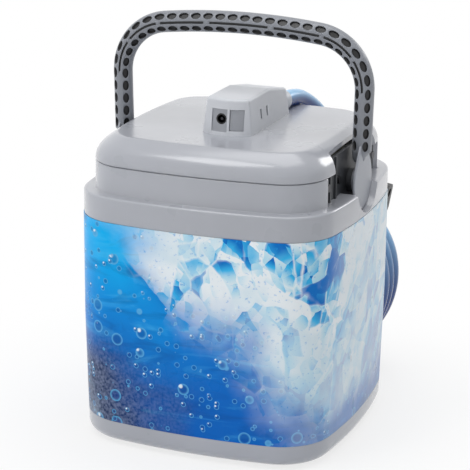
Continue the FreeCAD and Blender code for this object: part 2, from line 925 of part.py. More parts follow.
def pump_motor():
    can = upright(motor_radius, housing_x, pump_y, motor_z, motor_z + motor_height)
    bore_end_z = motor_z + shaft_in_motor + shaft_end_gap
    return can.cut(upright(shaft_radius + shaft_gap, housing_x, pump_y, motor_z, bore_end_z))


def pump_volute():
    """Pump chamber under the plug, with the intake's eye below and the outlet port beside it."""
    case = upright(volute_radius, housing_x, pump_y, volute_z, plug_z)
    arm = box((supply_x - port_radius, supply_x + port_radius), (pump_y, riser_y), (volute_z, plug_z))
    case = case.fuse(arm).fuse(upright(port_radius, supply_x, riser_y, volute_z, plug_z))
    chamber_low = volute_z + volute_wall
    chamber_high = plug_z - volute_wall
    case = case.cut(upright(volute_radius - volute_wall, housing_x, pump_y, chamber_low, chamber_high))
    case = case.cut(upright(intake_radius - intake_wall, housing_x, pump_y, volute_z, chamber_low))
    case = case.cut(upright(shaft_radius + shaft_gap, housing_x, pump_y, chamber_high, plug_z))
    mid_z = (volute_z + plug_z) / 2
    start = V(supply_x, pump_y + volute_radius - 2 * volute_wall, mid_z)
    case = case.cut(cylinder(tube_radius - tube_wall, start, V(supply_x, riser_y, mid_z)))
    return case.cut(upright(tube_radius - tube_wall, supply_x, riser_y, mid_z, plug_z))


def impeller():
    """Hub with straight blades on a shaft that runs up into the motor."""
    low = volute_z + volute_wall + impeller_gap
    high = plug_z - volute_wall - impeller_gap
    wheel = upright(impeller_hub, housing_x, pump_y, low, high)
    axis = V(housing_x, pump_y, 0)
    for index in range(blade_count):
        half = blade_thickness / 2
        blade = box((0, impeller_radius), (-half, half), (low + impeller_gap, high))
        blade = blade.translated(axis)
        blade.rotate(axis, V(0, 0, 1), 360.0 * index / blade_count)
        wheel = wheel.fuse(blade)
    return wheel.fuse(upright(shaft_radius, housing_x, pump_y, low, motor_z + shaft_in_motor))


def strainer_low_z():
    return liner_floor_z + liner_wall + strainer_above_floor


def intake_tube():
    low = strainer_low_z() + strainer_height
    outer = upright(intake_radius, housing_x, pump_y, low, volute_z)
    return outer.cut(upright(intake_radius - intake_wall, housing_x, pump_y, low, volute_z))


def intake_strainer():
    """Slotted cup at the foot of the intake tube."""
    low = strainer_low_z()
    high = low + strainer_height
    cup = upright(strainer_radius, housing_x, pump_y, low, high)
    inner = strainer_radius - strainer_wall
    cup = cup.cut(upright(inner, housing_x, pump_y, low + strainer_wall, high - strainer_wall))
    cup = cup.cut(upright(intake_radius - intake_wall, housing_x, pump_y, high - strainer_wall, high))
    middle = (low + high) / 2
    axis = V(housing_x, pump_y, 0)
    for index in range(strainer_slots):
        half = strainer_slot_width / 2
        z_range = (middle - strainer_slot_height / 2, middle + strainer_slot_height / 2)
        slot = box((inner / 2, strainer_radius + cut_over), (-half, half), z_range).translated(axis)
        slot.rotate(axis, V(0, 0, 1), 360.0 * index / strainer_slots)
        cup = cup.cut(slot)
    return cup


def riser(x, low_z, way):
    """Pipe from under the lid up into the gland; way is its side of the gland's axis."""
    root = gland_root()
    beside = root + V(way * (tube_radius + riser_gap), 0, 0)
    points = [V(x, riser_y, low_z), V(x, riser_y, root.z), beside]
    wire = route_wire(points)
    return tube_along(wire, tube_radius).cut(tube_along(wire, tube_radius - tube_wall))


def housing_screw_places():
    reach = housing_foot_half - housing_wall - screw_head_radius
    front = housing_front_y + housing_front_bow + housing_wall + screw_head_radius
    rear = housing_rear_y - housing_wall - screw_head_radius
    return [(housing_x + side * reach, y) for side in (-1, 1) for y in (front, rear)]


def housing_screws():
    """Screws that hold the housing from inside the lid."""
    screws = []
    for x, y in housing_screw_places():
        low = crest_z - lid_wall
        head = upright(screw_head_radius, x, y, low - screw_head_height, low)
        screws.append(head.fuse(upright(screw_radius, x, y, low, crest_z)))
    return Part.makeCompound(screws)


# ---------------------------------------------------------------- hose

def hose_gland():
    """Tapered sleeve that holds the hose where it leaves the housing."""
    return gland_cone().cut(cylinder(gland_bore, gland_root(), lead_route[0] - gland_axis() * gland_stop))


def hose_lead():
    return tube_along(route_wire(lead_route), hose_radius)


def hose_tail():
    return tube_along(route_wire(tail_route), hose_radius)


def coil_cylinder(radius, grow=0.0):
    start = V(coil_centre_x, coil_front_y - hose_radius - grow, coil_centre_z)
    return cylinder(radius, start, V(coil_centre_x, coil_back_y + hose_radius + grow, coil_centre_z))


def hose_coil():
    """Outer shape of the coil, which stands behind the tub."""
    return coil_cylinder(coil_radius + hose_radius).cut(coil_cylinder(coil_radius - hose_radius))


def hose_tie():
    """Strap round the coil's turns, at its left side."""
    strap = coil_cylinder(coil_radius + hose_radius + tie_thickness, tie_thickness)
    strap = strap.cut(coil_cylinder(coil_radius - hose_radius - tie_thickness, tie_thickness))
    z_range = (coil_centre_z - tie_width / 2, coil_centre_z + tie_width / 2)
    strap = strap.common(box((-far, coil_centre_x), (-far, far), z_range))
    return strap.cut(hose_coil())


def on_coupling(shape):
    """Moves a shape from the coupling's own frame, +Z running on along the hose, to its place."""
    heading = (tail_route[-1] - tail_route[-2]).normalize()
    placed = shape.copy()
    placed.Placement = FreeCAD.Placement(tail_route[-1], FreeCAD.Rotation(V(0, 0, 1), heading))
    return placed


def socket_places():
    return [side * socket_spacing / 2 for side in (-1, 1)]


def latch_block(gap, x_low, x_high):
    half = latch_width / 2 + gap
    middle = coupling_length / 2
    z_range = (middle - latch_length / 2 - gap, middle + latch_length / 2 + gap)
    return box((x_low, x_high), (-half, half), z_range)


def hose_coupling():
    """Two-way coupling: a rounded block with two sockets in its end and a seat for the latch."""
    half_height = coupling_height / 2
    half_depth = coupling_depth / 2
    block = box((-half_height, half_height), (-half_depth, half_depth), (0, coupling_length))
    long_edges = [edge for edge in block.Edges if edge.Length > coupling_length - pick_slack]
    block = block.makeFillet(coupling_edge_round, long_edges)
    for x in socket_places():
        block = block.cut(upright(socket_radius, x, 0, coupling_length - socket_length, coupling_length))
    seat_x = latch_depth + latch_travel + latch_gap - half_height
    return on_coupling(block.cut(latch_block(latch_gap, -far, seat_x)))


def coupling_latch():
    half_height = coupling_height / 2
    return on_coupling(latch_block(0.0, -half_height - latch_proud, latch_depth - half_height))


def coupling_ferrule():
    """Sleeve that clamps the hose's end, against the coupling."""
    return on_coupling(upright(ferrule_radius, 0, 0, -ferrule_length, 0)).cut(hose_tail())


# ---------------------------------------------------------------- export

def build_parts():
    outer = housing_outer()
    return_end_z = plug_z - return_drop
    return {
        "bucket_shell": bucket_shell(),
        "label_wrap": label_wrap(),
        "base_feet": base_feet(),
        "insulation_foam": insulation_foam(),
        "reservoir_liner": reservoir_liner(),
        "rim_ring": rim_ring(),
        "handle_bracket_left": handle_bracket(-1),
        "handle_bracket_right": handle_bracket(1),
        "pivot_pins": pivot_pins(),
        "bracket_screws": bracket_screws(),
        "handle_frame": handle_frame(),
        "handle_core": handle_core(),
        "lid_shell": lid_shell(),
        "lid_underside": lid_underside(),
        "lid_foam": lid_foam(),
        "lid_seal": lid_seal(),
        "pump_housing": pump_housing(outer),
        "jack_panel": jack_panel(outer),
        "power_jack": power_jack(),
        "jack_pin": jack_pin(),
        "power_button": power_button(outer),
        "circuit_board": circuit_board(),
        "key_switch": key_switch(),
        "pump_motor": pump_motor(),
        "pump_volute": pump_volute(),
        "impeller": impeller(),
        "intake_tube": intake_tube(),
        "intake_strainer": intake_strainer(),
        "supply_tube": riser(supply_x, plug_z, -1),
        "return_tube": riser(return_x, return_end_z, 1),
        "housing_screws": housing_screws(),
        "hose_gland": hose_gland(),
        "hose_lead": hose_lead(),
        "hose_coil": hose_coil(),
        "hose_tail": hose_tail(),
        "hose_tie": hose_tie(),
        "hose_coupling": hose_coupling(),
        "coupling_ferrule": coupling_ferrule(),
        "coupling_latch": coupling_latch(),
    }


def print_hose():
    """Prints each bend's radius and compares each tube's volume with its section times its length."""
    section = math.pi * hose_radius ** 2
    for name, route, solid in (("lead", lead_route, hose_lead()), ("tail", tail_route, hose_tail())):
        length = route_wire(route).Length
        print(name, "length", round(length, 1), "volume ratio", round(solid.Volume / (section * length), 4))
        print(name, "radii", [round(radius, 1) for radius in bend_radii(route)])


os.makedirs("parts", exist_ok=True)
for node, shape in build_parts().items():
    shape.exportStep("parts/" + node + ".step")
    state = "valid" if shape.isValid() else "INVALID"
    print(node, len(shape.Solids), state, round(shape.Volume / 1000.0, 2), "cm3")
print_hose()
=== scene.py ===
import json
import math

import bmesh
import bpy
from mathutils import Matrix, Vector


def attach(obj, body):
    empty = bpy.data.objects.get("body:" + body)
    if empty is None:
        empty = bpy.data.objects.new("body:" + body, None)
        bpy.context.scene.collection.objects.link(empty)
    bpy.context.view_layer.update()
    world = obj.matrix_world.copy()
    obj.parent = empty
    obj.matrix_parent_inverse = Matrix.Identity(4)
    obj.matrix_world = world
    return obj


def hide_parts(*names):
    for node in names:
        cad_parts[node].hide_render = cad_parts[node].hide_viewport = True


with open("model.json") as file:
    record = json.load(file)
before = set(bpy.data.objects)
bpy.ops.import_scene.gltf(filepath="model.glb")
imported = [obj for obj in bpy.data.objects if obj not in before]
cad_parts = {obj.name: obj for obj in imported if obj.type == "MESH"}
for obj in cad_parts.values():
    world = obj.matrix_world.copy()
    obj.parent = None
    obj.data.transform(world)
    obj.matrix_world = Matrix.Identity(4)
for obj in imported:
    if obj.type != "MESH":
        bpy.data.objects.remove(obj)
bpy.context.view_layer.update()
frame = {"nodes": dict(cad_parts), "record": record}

MM = 0.001


def mm(*values):
    """Vector in metres, from values in mm."""
    return Vector(values) * MM


# ---------------------------------------------------------------- camera

CAMERA_PLACE = mm(492.0, -1283.3, 562.1)
CAMERA_AZIMUTH = 21.10
CAMERA_ELEVATION = 16.80
CAMERA_ROLL = 0.54
FOCAL_PIXELS = 1849.7
IMAGE_PIXELS = 470
SENSOR_WIDTH = 36.0
CAMERA_CLIP = (0.05, 20.0)


def make_camera():
    """The photo's camera, with angles in degrees and the focal length in pixels of the photo."""
    azimuth, elevation, roll = map(math.radians, (CAMERA_AZIMUTH, CAMERA_ELEVATION, CAMERA_ROLL))
    back = Vector((math.sin(azimuth) * math.cos(elevation), -math.cos(azimuth) * math.cos(elevation),
                   math.sin(elevation)))
    level = Vector((math.cos(azimuth), math.sin(azimuth), 0))
    upward = back.cross(level)
    right = level * math.cos(roll) + upward * math.sin(roll)
    up = upward * math.cos(roll) - level * math.sin(roll)
    data = bpy.data.cameras.new("camera")
    data.sensor_width = SENSOR_WIDTH
    data.lens = FOCAL_PIXELS / IMAGE_PIXELS * SENSOR_WIDTH
    data.clip_start, data.clip_end = CAMERA_CLIP
    camera = bpy.data.objects.new("camera", data)
    bpy.context.scene.collection.objects.link(camera)
    turn = Matrix((right, up, back)).transposed().to_4x4()
    camera.matrix_world = Matrix.Translation(CAMERA_PLACE) @ turn
    bpy.context.scene.camera = camera


# ---------------------------------------------------------------- hose

HOSE_DIAMETER = 13.0
LEAD_ROUTE = [
    mm(14.0, 58.6, 243.6),
    mm(16.0, 78.2, 243.5),
    mm(19.8, 97.0, 236.2),
    mm(24.6, 113.5, 224.2),
    mm(31.0, 127.0, 207.0),
    mm(38.0, 138.8, 184.0),
    mm(49.0, 149.0, 156.0),
    mm(58.4, 154.6, 130.1),
]
TAIL_ROUTE = [
    mm(-33.8, 117.2, 138.2),
    mm(-14.4, 117.8, 152.3),
    mm(8.0, 118.8, 160.9),
    mm(31.9, 119.6, 163.4),
    mm(52.6, 120.0, 159.8),
]
COIL_CENTRE_X = 7.5
COIL_CENTRE_Z = 79.2
COIL_RADIUS = 72.0
COIL_FIRST_ANGLE = 45.0
COIL_TURNED = 1000.0
COIL_STEPS = 42
HOSE_BEVEL_RESOLUTION = 10
HOSE_RESOLUTION = 8


def coil_points():
    """Points between the lead's end and the tail's start: clockwise turns that wind towards the tub."""
    step = COIL_TURNED / COIL_STEPS
    reach = COIL_RADIUS / math.cos(math.radians(step / 2))
    back_y = LEAD_ROUTE[-1].y
    front_y = TAIL_ROUTE[0].y
    points = []
    for index in range(1, COIL_STEPS):
        angle = math.radians(COIL_FIRST_ANGLE - step * index)
        y = back_y + (front_y - back_y) * index / COIL_STEPS
        x = (COIL_CENTRE_X + reach * math.cos(angle)) * MM
        z = (COIL_CENTRE_Z + reach * math.sin(angle)) * MM
        points.append(Vector((x, y, z)))
    return points


def make_hose():
    """Cord from the gland over the lid's rear, down behind the tub and round the coil to the coupling."""
    curve = bpy.data.curves.new("hose", "CURVE")
    curve.dimensions = "3D"
    # A point's radius scales the bevel and also widens the curve's box.
    # So the bevel is 1, and the radius of each point is the hose's.
    curve.bevel_depth = 1.0
    curve.bevel_resolution = HOSE_BEVEL_RESOLUTION
    curve.resolution_u = HOSE_RESOLUTION
    curve.use_fill_caps = True
    spline = curve.splines.new("NURBS")
    route = LEAD_ROUTE + coil_points() + TAIL_ROUTE
    spline.points.add(len(route) - 1)
    for point, place in zip(spline.points, route):
        point.co = (*place, 1.0)
        point.radius = HOSE_DIAMETER / 2 * MM
    spline.order_u = 3
    spline.use_endpoint_u = True
    hose = bpy.data.objects.new("hose", curve)
    bpy.context.scene.collection.objects.link(hose)
    return hose


make_camera()
hose = make_hose()

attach(hose, "lid")
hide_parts("hose_lead", "hose_coil", "hose_tail")


# ---------------------------------------------------------------- dimensions shared with the solids

# Lengths are in mm and angles in degrees.

BODY_HALF = 104.0
BODY_CORNER = 41.3
SIDE_BOW = 11.8
BASE_TAPER = 2.0
TAPER_HEIGHT = 94.0
BASE_EDGE_ROUND = 8.0
SHELL_WALL = 2.5
SHELL_FLOOR = 3.0
BASE_Z = 2.0
LABEL_Z = 19.0
COLLAR_Z = 176.3
LEDGE_Z = 195.4
RIM_Z = 216.6
LID_Z = 217.0
CREST_Z = 236.7
LABEL_THICKNESS = 0.5
COLLAR_INSET = 0.4
NECK_HALF = 95.3
NECK_CORNER = 36.4
LINER_HALF = 81.5
LINER_CORNER = 28.0
LINER_FLANGE_REACH = 2.0
LINER_FLANGE_THICKNESS = 2.4
SHOULDER_INSET = 15.6
SHOULDER_POWER = 2.3
CREST_CORNER = 23.4
LID_WALL = 2.5
HANDLE_Y = 1.6
PIVOT_Z = 200.7
POCKET_BACK = 86.0
POCKET_HALF = 58.0
LID_POCKET_HALF = 44.0
POCKET_FLARE = 0.6
POCKET_GAP = 0.5
POCKET_REACH = 130.0
PADDLE_RADIUS = 21.2
NOTCH_GAP = 1.0
HUB_X = 92.0
HUB_RADIUS = 9.0
PADDLE_X = 97.2
PADDLE_THICKNESS = 1.8
PADDLE_EDGE_ROUND = 0.6
PADDLE_NECK_RADIUS = 11.0
PADDLE_NECK_RISE = 20.0
NOTCH_FLARE = 4.8
NOTCH_FLARE_DROP = 1.2
TOE_RADIUS = 5.2
TOE_INSET = 2.0
TOE_DROP = 4.5
HANDLE_RADIUS = 8.2
ARM_RADIUS = 7.3
HANDLE_FOOT_HALF = 97.0
HANDLE_FOOT_RISE = 23.0
HANDLE_LEAN = 1.2
HANDLE_CORNER_RADIUS = 40.0
HANDLE_CROWN_RADIUS = 535.0
HANDLE_TOP_RISE = 112.6


# ---------------------------------------------------------------- mesh helpers

SIDE_STEPS = 26
CORNER_STEPS = 18
ROUND_STEPS = 144
# In metres: points of the handle's cells that lie closer are one
MERGE_DISTANCE = 1e-6
# The notch's flare starts this much inside its bore, so that their faces don't coincide
CONE_INSET = 0.02


def new_piece(name, vertices, faces):
    """Object with a mesh of its own, in the scene."""
    data = bpy.data.meshes.new(name)
    data.from_pydata([tuple(vertex) for vertex in vertices], [], faces)
    data.validate()
    piece = bpy.data.objects.new(name, data)
    bpy.context.scene.collection.objects.link(piece)
    return piece


def shade(piece, angle=32.0):
    """Smooth shading, with edges sharper than angle left hard."""
    piece.data.shade_smooth()
    piece.data.set_sharp_from_angle(angle=math.radians(angle))


def soften(piece, width, segments=3, angle=30.0):
    """Rounds the edges sharper than angle, to a width in mm."""
    modifier = piece.modifiers.new("soft_edges", "BEVEL")
    modifier.width = width * MM
    modifier.segments = segments
    modifier.limit_method = "ANGLE"
    modifier.angle_limit = math.radians(angle)
    modifier.harden_normals = True
    piece.data.shade_smooth()


def face_outwards(piece, merge=False):
    """Turns a closed piece's faces outwards, after joining its doubled points where merge says so."""
    work = bmesh.new()
    work.from_mesh(piece.data)
    if merge:
        bmesh.ops.remove_doubles(work, verts=work.verts, dist=MERGE_DISTANCE)
    bmesh.ops.recalc_face_normals(work, faces=work.faces)
    work.to_mesh(piece.data)
    work.free()


def dress(piece, body, materials, nodes=()):
    """Materials of a piece, the body that it rides on and the nodes that it replaces."""
    for entry in materials:
        piece.data.materials.append(entry)
    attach(piece, body)
    if nodes:
        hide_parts(*nodes)


def full_turn(steps):
    """Angles of a full turn in equal steps, in radians."""
    return [2 * math.pi * step / steps for step in range(steps)]


def quarter_turn(steps):
    """Angles from 0 to a quarter turn in equal steps, in radians."""
    return [math.radians(90.0 * step / steps) for step in range(steps + 1)]


def bowed_ring(z, half, corner):
    """Points at height z of a square with bowed sides and round corners, in metres."""
    bow = SIDE_BOW * (half / BODY_HALF) ** 2
    side_radius = (half * half + bow * bow) / (2.0 * bow)
    drop = side_radius - half
    reach = side_radius - corner
    middle = (math.sqrt(2.0 * reach * reach - drop * drop) - drop) / 2.0
    turn = math.atan2(middle, middle + drop)
    arcs = [
        (-drop, 0.0, side_radius, -turn, turn, SIDE_STEPS),
        (middle, middle, corner, turn, math.pi / 2 - turn, CORNER_STEPS),
    ]
    points = []
    for quarter in range(4):
        spin = Matrix.Rotation(math.pi / 2 * quarter, 3, "Z")
        for centre_x, centre_y, radius, first, last, steps in arcs:
            for step in range(steps):
                angle = first + (last - first) * step / steps
                flat = mm(centre_x + radius * math.cos(angle), centre_y + radius * math.sin(angle), 0)
                points.append(spin @ flat + mm(0, 0, z))
    return points


def side_circle(side, x, z, radius):
    """Circle across the X axis. On the left, with side -1, it runs the other way round."""
    points = []
    for angle in full_turn(ROUND_STEPS):
        points.append(mm(side * x, HANDLE_Y + radius * math.cos(angle), z + radius * math.sin(angle)))
    return points[::side]


def skin(rings, closed=False):
    """Vertices and faces over rings of equal length, capped or closed from the last ring to the first."""
    count = len(rings[0])
    vertices = [point for ring in rings for point in ring]
    faces = []
    pairs = list(zip(range(len(rings)), range(1, len(rings))))
    if closed:
        pairs.append((len(rings) - 1, 0))
    for low, high in pairs:
        low_start, high_start = low * count, high * count
        for index in range(count):
            after = (index + 1) % count
            faces.append((low_start + index, low_start + after, high_start + after, high_start + index))
    if not closed:
        faces.append(tuple(range(count - 1, -1, -1)))
        faces.append(tuple(range((len(rings) - 1) * count, len(rings) * count)))
    return vertices, faces


def lofted(name, levels, closed=False):
    """Piece through section levels, each (height, half width, corner radius), with its faces outwards."""
    piece = new_piece(name, *skin([bowed_ring(*level) for level in levels], closed))
    face_outwards(piece)
    return piece


def edge_levels(level, z, radius, steps, upper):
    """Levels round an edge at height z; level(height, inset) gives the section. They run upwards."""
    levels = []
    for angle in quarter_turn(steps):
        inset = radius * (1.0 - math.sin(angle))
        height = radius * (1.0 - math.cos(angle))
        levels.append(level(z - height if upper else z + height, inset))
    return levels[::-1] if upper else levels


def carve(piece, cutters):
    """Cuts closed pieces out of a piece, and removes them."""
    for cutter in cutters:
        modifier = piece.modifiers.new("cut", "BOOLEAN")
        modifier.solver = "EXACT"
        modifier.object = cutter
    graph = bpy.context.evaluated_depsgraph_get()
    cut = bpy.data.meshes.new_from_object(piece.evaluated_get(graph))
    piece.modifiers.clear()
    piece.data = cut
    for cutter in cutters:
        bpy.data.objects.remove(cutter)


def rod(start, end, radius, steps=96):
    """Cutter: cylinder between two points."""
    axis = (end - start).normalized()
    across = axis.orthogonal().normalized()
    other = axis.cross(across)
    turns = [across * math.cos(angle) + other * math.sin(angle) for angle in full_turn(steps)]
    return new_piece("cutter", *skin([[place + turn * radius for turn in turns] for place in (start, end)]))


def notch_cone(side):
    """Cutter: flare of the round notch, from the paddle's outer face out to the collar's."""
    radius = PADDLE_RADIUS + NOTCH_GAP
    outer_z = PIVOT_Z + NOTCH_FLARE - NOTCH_FLARE_DROP
    inner = side_circle(side, PADDLE_X + PADDLE_THICKNESS, PIVOT_Z, radius - CONE_INSET)
    outer = side_circle(side, BODY_HALF, outer_z, radius + NOTCH_FLARE)
    return new_piece("cutter", *skin([inner, outer]))


def pocket_cutter(side, half, z_low, z_high, grow):
    """Cutter: upright handle pocket that widens outwards, grown by a gap all round."""
    back = POCKET_BACK - grow
    flare = POCKET_FLARE * (POCKET_REACH - back)
    low = HANDLE_Y - half - grow
    high = HANDLE_Y + half + grow
    outline = [(back, low), (POCKET_REACH, low - flare), (POCKET_REACH, high + flare), (back, high)]
    if side < 0:
        outline = [(-x, y) for x, y in outline[::-1]]
    return new_piece("cutter", *skin([[mm(x, y, z) for x, y in outline] for z in (z_low, z_high)]))


# ---------------------------------------------------------------- materials

# Sockets of the Mix node where it mixes colours
MIX_FIRST = 6
MIX_SECOND = 7
MIX_RESULT = 2
# Where most of a noise's values lie
NOISE_LOW = 0.3
NOISE_HIGH = 0.7


class Nodes:
    """A node tree with short ways to add nodes."""

    def __init__(self, tree):
        self.tree = tree

    def plug(self, socket, value):
        if isinstance(value, bpy.types.NodeSocket):
            self.tree.links.new(value, socket)
        else:
            socket.default_value = value

    def add(self, kind, inputs=None, **settings):
        node = self.tree.nodes.new("ShaderNode" + kind)
        for setting, value in settings.items():
            setattr(node, setting, value)
        for socket, value in (inputs or {}).items():
            self.plug(node.inputs[socket], value)
        return node

    def math(self, operation, first, second):
        return self.add("Math", {0: first, 1: second}, operation=operation).outputs["Value"]

    def seen_directly(self):
        """1 for what the camera sees, also by reflection or through glass, and 0 for light on the object."""
        path = self.add("LightPath").outputs
        seen = self.math("MAXIMUM", path["Is Camera Ray"], path["Is Glossy Ray"])
        return self.math("MAXIMUM", seen, path["Is Transmission Ray"])


class Shader(Nodes):
    """A material, with its Principled node as surface."""

    def __init__(self, name, **settings):
        self.material = bpy.data.materials.new(name)
        self.material.use_nodes = True
        super().__init__(self.material.node_tree)
        self.surface = self.tree.nodes["Principled BSDF"]
        self.coordinates = self.add("TexCoord").outputs["Object"]
        for socket, value in settings.items():
            self.set(socket.replace("_", " "), value)

    def set(self, socket, value):
        self.plug(self.surface.inputs[socket], value)

    def noise(self, scale, detail=3.0, roughness=0.5, distortion=0.0, vector=None):
        inputs = {"Vector": vector or self.coordinates, "Scale": scale, "Detail": detail,
                  "Roughness": roughness, "Distortion": distortion}
        return self.add("TexNoise", inputs).outputs["Fac"]

    def drift(self, scale, detail):
        """Noise with three channels, to push coordinates about."""
        inputs = {"Vector": self.coordinates, "Scale": scale, "Detail": detail}
        return self.add("TexNoise", inputs).outputs["Color"]

    def remap(self, value, low, high, to_low, to_high, kind="LINEAR"):
        """Carries the values from low to high over to those between two others."""
        inputs = {"Value": value, "From Min": low, "From Max": high, "To Min": to_low, "To Max": to_high}
        return self.add("MapRange", inputs, interpolation_type=kind).outputs["Result"]

    def fade(self, value, low, high, to_low, to_high):
        """The same with smooth ends."""
        return self.remap(value, low, high, to_low, to_high, kind="SMOOTHSTEP")

    def spread(self, noise, to_low, to_high):
        """Stretches a noise's usual range between two values."""
        return self.remap(noise, NOISE_LOW, NOISE_HIGH, to_low, to_high)

    def mix(self, share, first, second, blend="MIX"):
        node = self.add("Mix", data_type="RGBA", blend_type=blend)
        self.plug(node.inputs["Factor"], share)
        self.plug(node.inputs[MIX_FIRST], first)
        self.plug(node.inputs[MIX_SECOND], second)
        return node.outputs[MIX_RESULT]

    def vector(self, operation, first, second):
        return self.add("VectorMath", {0: first, 1: second}, operation=operation).outputs["Vector"]

    def channel(self, colour, index):
        return self.add("SeparateColor", {0: colour}).outputs[index]

    def bump(self, height, strength, distance, normal=None):
        """Normal bent by a height; the distance is in mm."""
        inputs = {"Height": height, "Strength": strength, "Distance": distance * MM}
        if normal:
            inputs["Normal"] = normal
        return self.add("Bump", inputs).outputs["Normal"]


def rgb(red, green, blue):
    """A screen colour, each from 0 to 255, as a linear one."""
    linear = []
    for value in (red, green, blue):
        share = value / 255.0
        linear.append(share / 12.92 if share <= 0.04045 else ((share + 0.055) / 1.055) ** 2.4)
    return (*linear, 1.0)


FLOW_SCALE = 9.0
FLOW_SPREAD = 0.05
GLOSS_SCALE = 30.0
GLOSS_SPREAD = 0.05
GRAIN_SCALE = 2600.0
GRAIN_HEIGHT = 0.05
WAVE_SCALE = 60.0
WAVE_STRENGTH = 0.02
WAVE_HEIGHT = 0.2
LIGHT_EDGE_POINTINESS = (0.55, 0.65)
LIGHT_EDGE_SHARE = 0.25
LIGHT_EDGE_GAIN = 1.25
LIGHT_EDGE_LIFT = 0.02


def moulded(name, colour, roughness, grain=0.12, **settings):
    """Moulded plastic: a fine spark-eroded grain, faint flow marks, and sharp edges a little lighter."""
    shader = Shader(name, **settings)
    flow = shader.noise(FLOW_SCALE, detail=4.0, roughness=0.6)
    flow = shader.spread(flow, 1.0 - FLOW_SPREAD, 1.0 + FLOW_SPREAD)
    grey_flow = shader.add("CombineColor", {0: flow, 1: flow, 2: flow}).outputs[0]
    tinted = shader.mix(1.0, colour, grey_flow, "MULTIPLY")
    # Sharp edges, found by pointiness, are mixed towards a lighter copy of the colour
    pointed = shader.add("NewGeometry").outputs["Pointiness"]
    edge = shader.fade(pointed, *LIGHT_EDGE_POINTINESS, 0.0, LIGHT_EDGE_SHARE)
    lighter_edge_colour = tuple(min(1.0, part * LIGHT_EDGE_GAIN + LIGHT_EDGE_LIFT) for part in colour[:3]) + (1.0,)
    shader.set("Base Color", shader.mix(edge, tinted, lighter_edge_colour))
    gloss = shader.noise(GLOSS_SCALE)
    shader.set("Roughness", shader.spread(gloss, roughness - GLOSS_SPREAD, roughness + GLOSS_SPREAD))
    waves = shader.bump(shader.noise(WAVE_SCALE, detail=2.0), WAVE_STRENGTH, WAVE_HEIGHT)
    fine = shader.noise(GRAIN_SCALE, detail=2.0)
    shader.set("Normal", shader.bump(fine, grain, GRAIN_HEIGHT, waves))
    return shader.material


def make_materials():
    """All materials by name. The solids' slots take the ones of the same name."""
    made = {
        "shell_plastic": moulded("shell_plastic", rgb(175, 177, 184), 0.3, Specular_IOR_Level=0.25,
                                 Coat_Weight=0.9, Coat_Roughness=0.16),
        "handle_plastic": moulded("handle_plastic", rgb(140, 143, 150), 0.36),
        "paddle_plastic": moulded("paddle_plastic", rgb(164, 167, 175), 0.36),
        "dark_plastic": moulded("dark_plastic", rgb(60, 62, 66), 0.45),
        "black_plastic": moulded("black_plastic", rgb(22, 22, 24), 0.4),
        "foot_rubber": moulded("foot_rubber", rgb(45, 45, 47), 0.75, grain=0.3),
        "foam": moulded("foam", rgb(235, 230, 212), 0.9, grain=0.6),
        "liner_plastic": moulded("liner_plastic", rgb(236, 238, 240), 0.35),
        "pump_plastic": moulded("pump_plastic", rgb(70, 74, 78), 0.45),
        "panel_plastic": moulded("panel_plastic", rgb(162, 164, 170), 0.4),
        # A lighter copy of the shell's plastic for the pump housing: painted light, for the light its sides
        # take off the lid's top
        "housing_plastic_painted_light": moulded("housing_plastic_painted_light", rgb(210, 212, 217), 0.36),
        "gland_plastic": moulded("gland_plastic", rgb(205, 208, 214), 0.35),
        "clear_tube": moulded("clear_tube", rgb(225, 230, 232), 0.15),
        "board": moulded("board", rgb(30, 95, 60), 0.5),
        "steel": moulded("steel", rgb(190, 191, 194), 0.32, Metallic=1.0),
        # A darker copy of the steel for the jack's pin, deep in its bore: painted shade
        "blackened_steel": moulded("blackened_steel", rgb(62, 62, 66), 0.35, Metallic=1.0),
        "ferrule_metal": moulded("ferrule_metal", rgb(170, 172, 176), 0.3, Metallic=1.0),
    }
    made["hose_sleeve"] = hose_material()
    made["label_film"] = label_material()
    return made


# The hose's blue with painted light for its top, and a navy painted shade for its underside
SLEEVE_PAINTED_SHADE = rgb(8, 58, 132)
SLEEVE_BLUE_PAINTED_LIGHT = rgb(146, 202, 246)
SLEEVE_PALE_PAINTED_LIGHT = rgb(172, 218, 252)


def hose_material():
    """Blue foam sleeve with a glossy skin; its colour holds painted light where it faces up and painted shade
    where it faces down.
    """
    shader = Shader("hose_sleeve", Coat_Weight=0.35, Coat_Roughness=0.2, Specular_IOR_Level=0.3)
    cloudy = shader.spread(shader.noise(25.0), 0.0, 1.0)
    bright = shader.mix(cloudy, SLEEVE_BLUE_PAINTED_LIGHT, SLEEVE_PALE_PAINTED_LIGHT)
    facing = shader.add("SeparateXYZ", {0: shader.add("NewGeometry").outputs["Normal"]}).outputs["Z"]
    upward = shader.fade(facing, -0.3, 0.9, 0.0, 1.0)
    # Painted light and shade: the cloudy blue top, with painted light, turns to the painted shade as the
    # surface faces down
    shader.set("Base Color", shader.mix(upward, SLEEVE_PAINTED_SHADE, bright))
    shader.set("Roughness", 0.22)
    shader.set("Normal", shader.bump(shader.noise(300.0), 0.08, 0.1))
    return shader.material


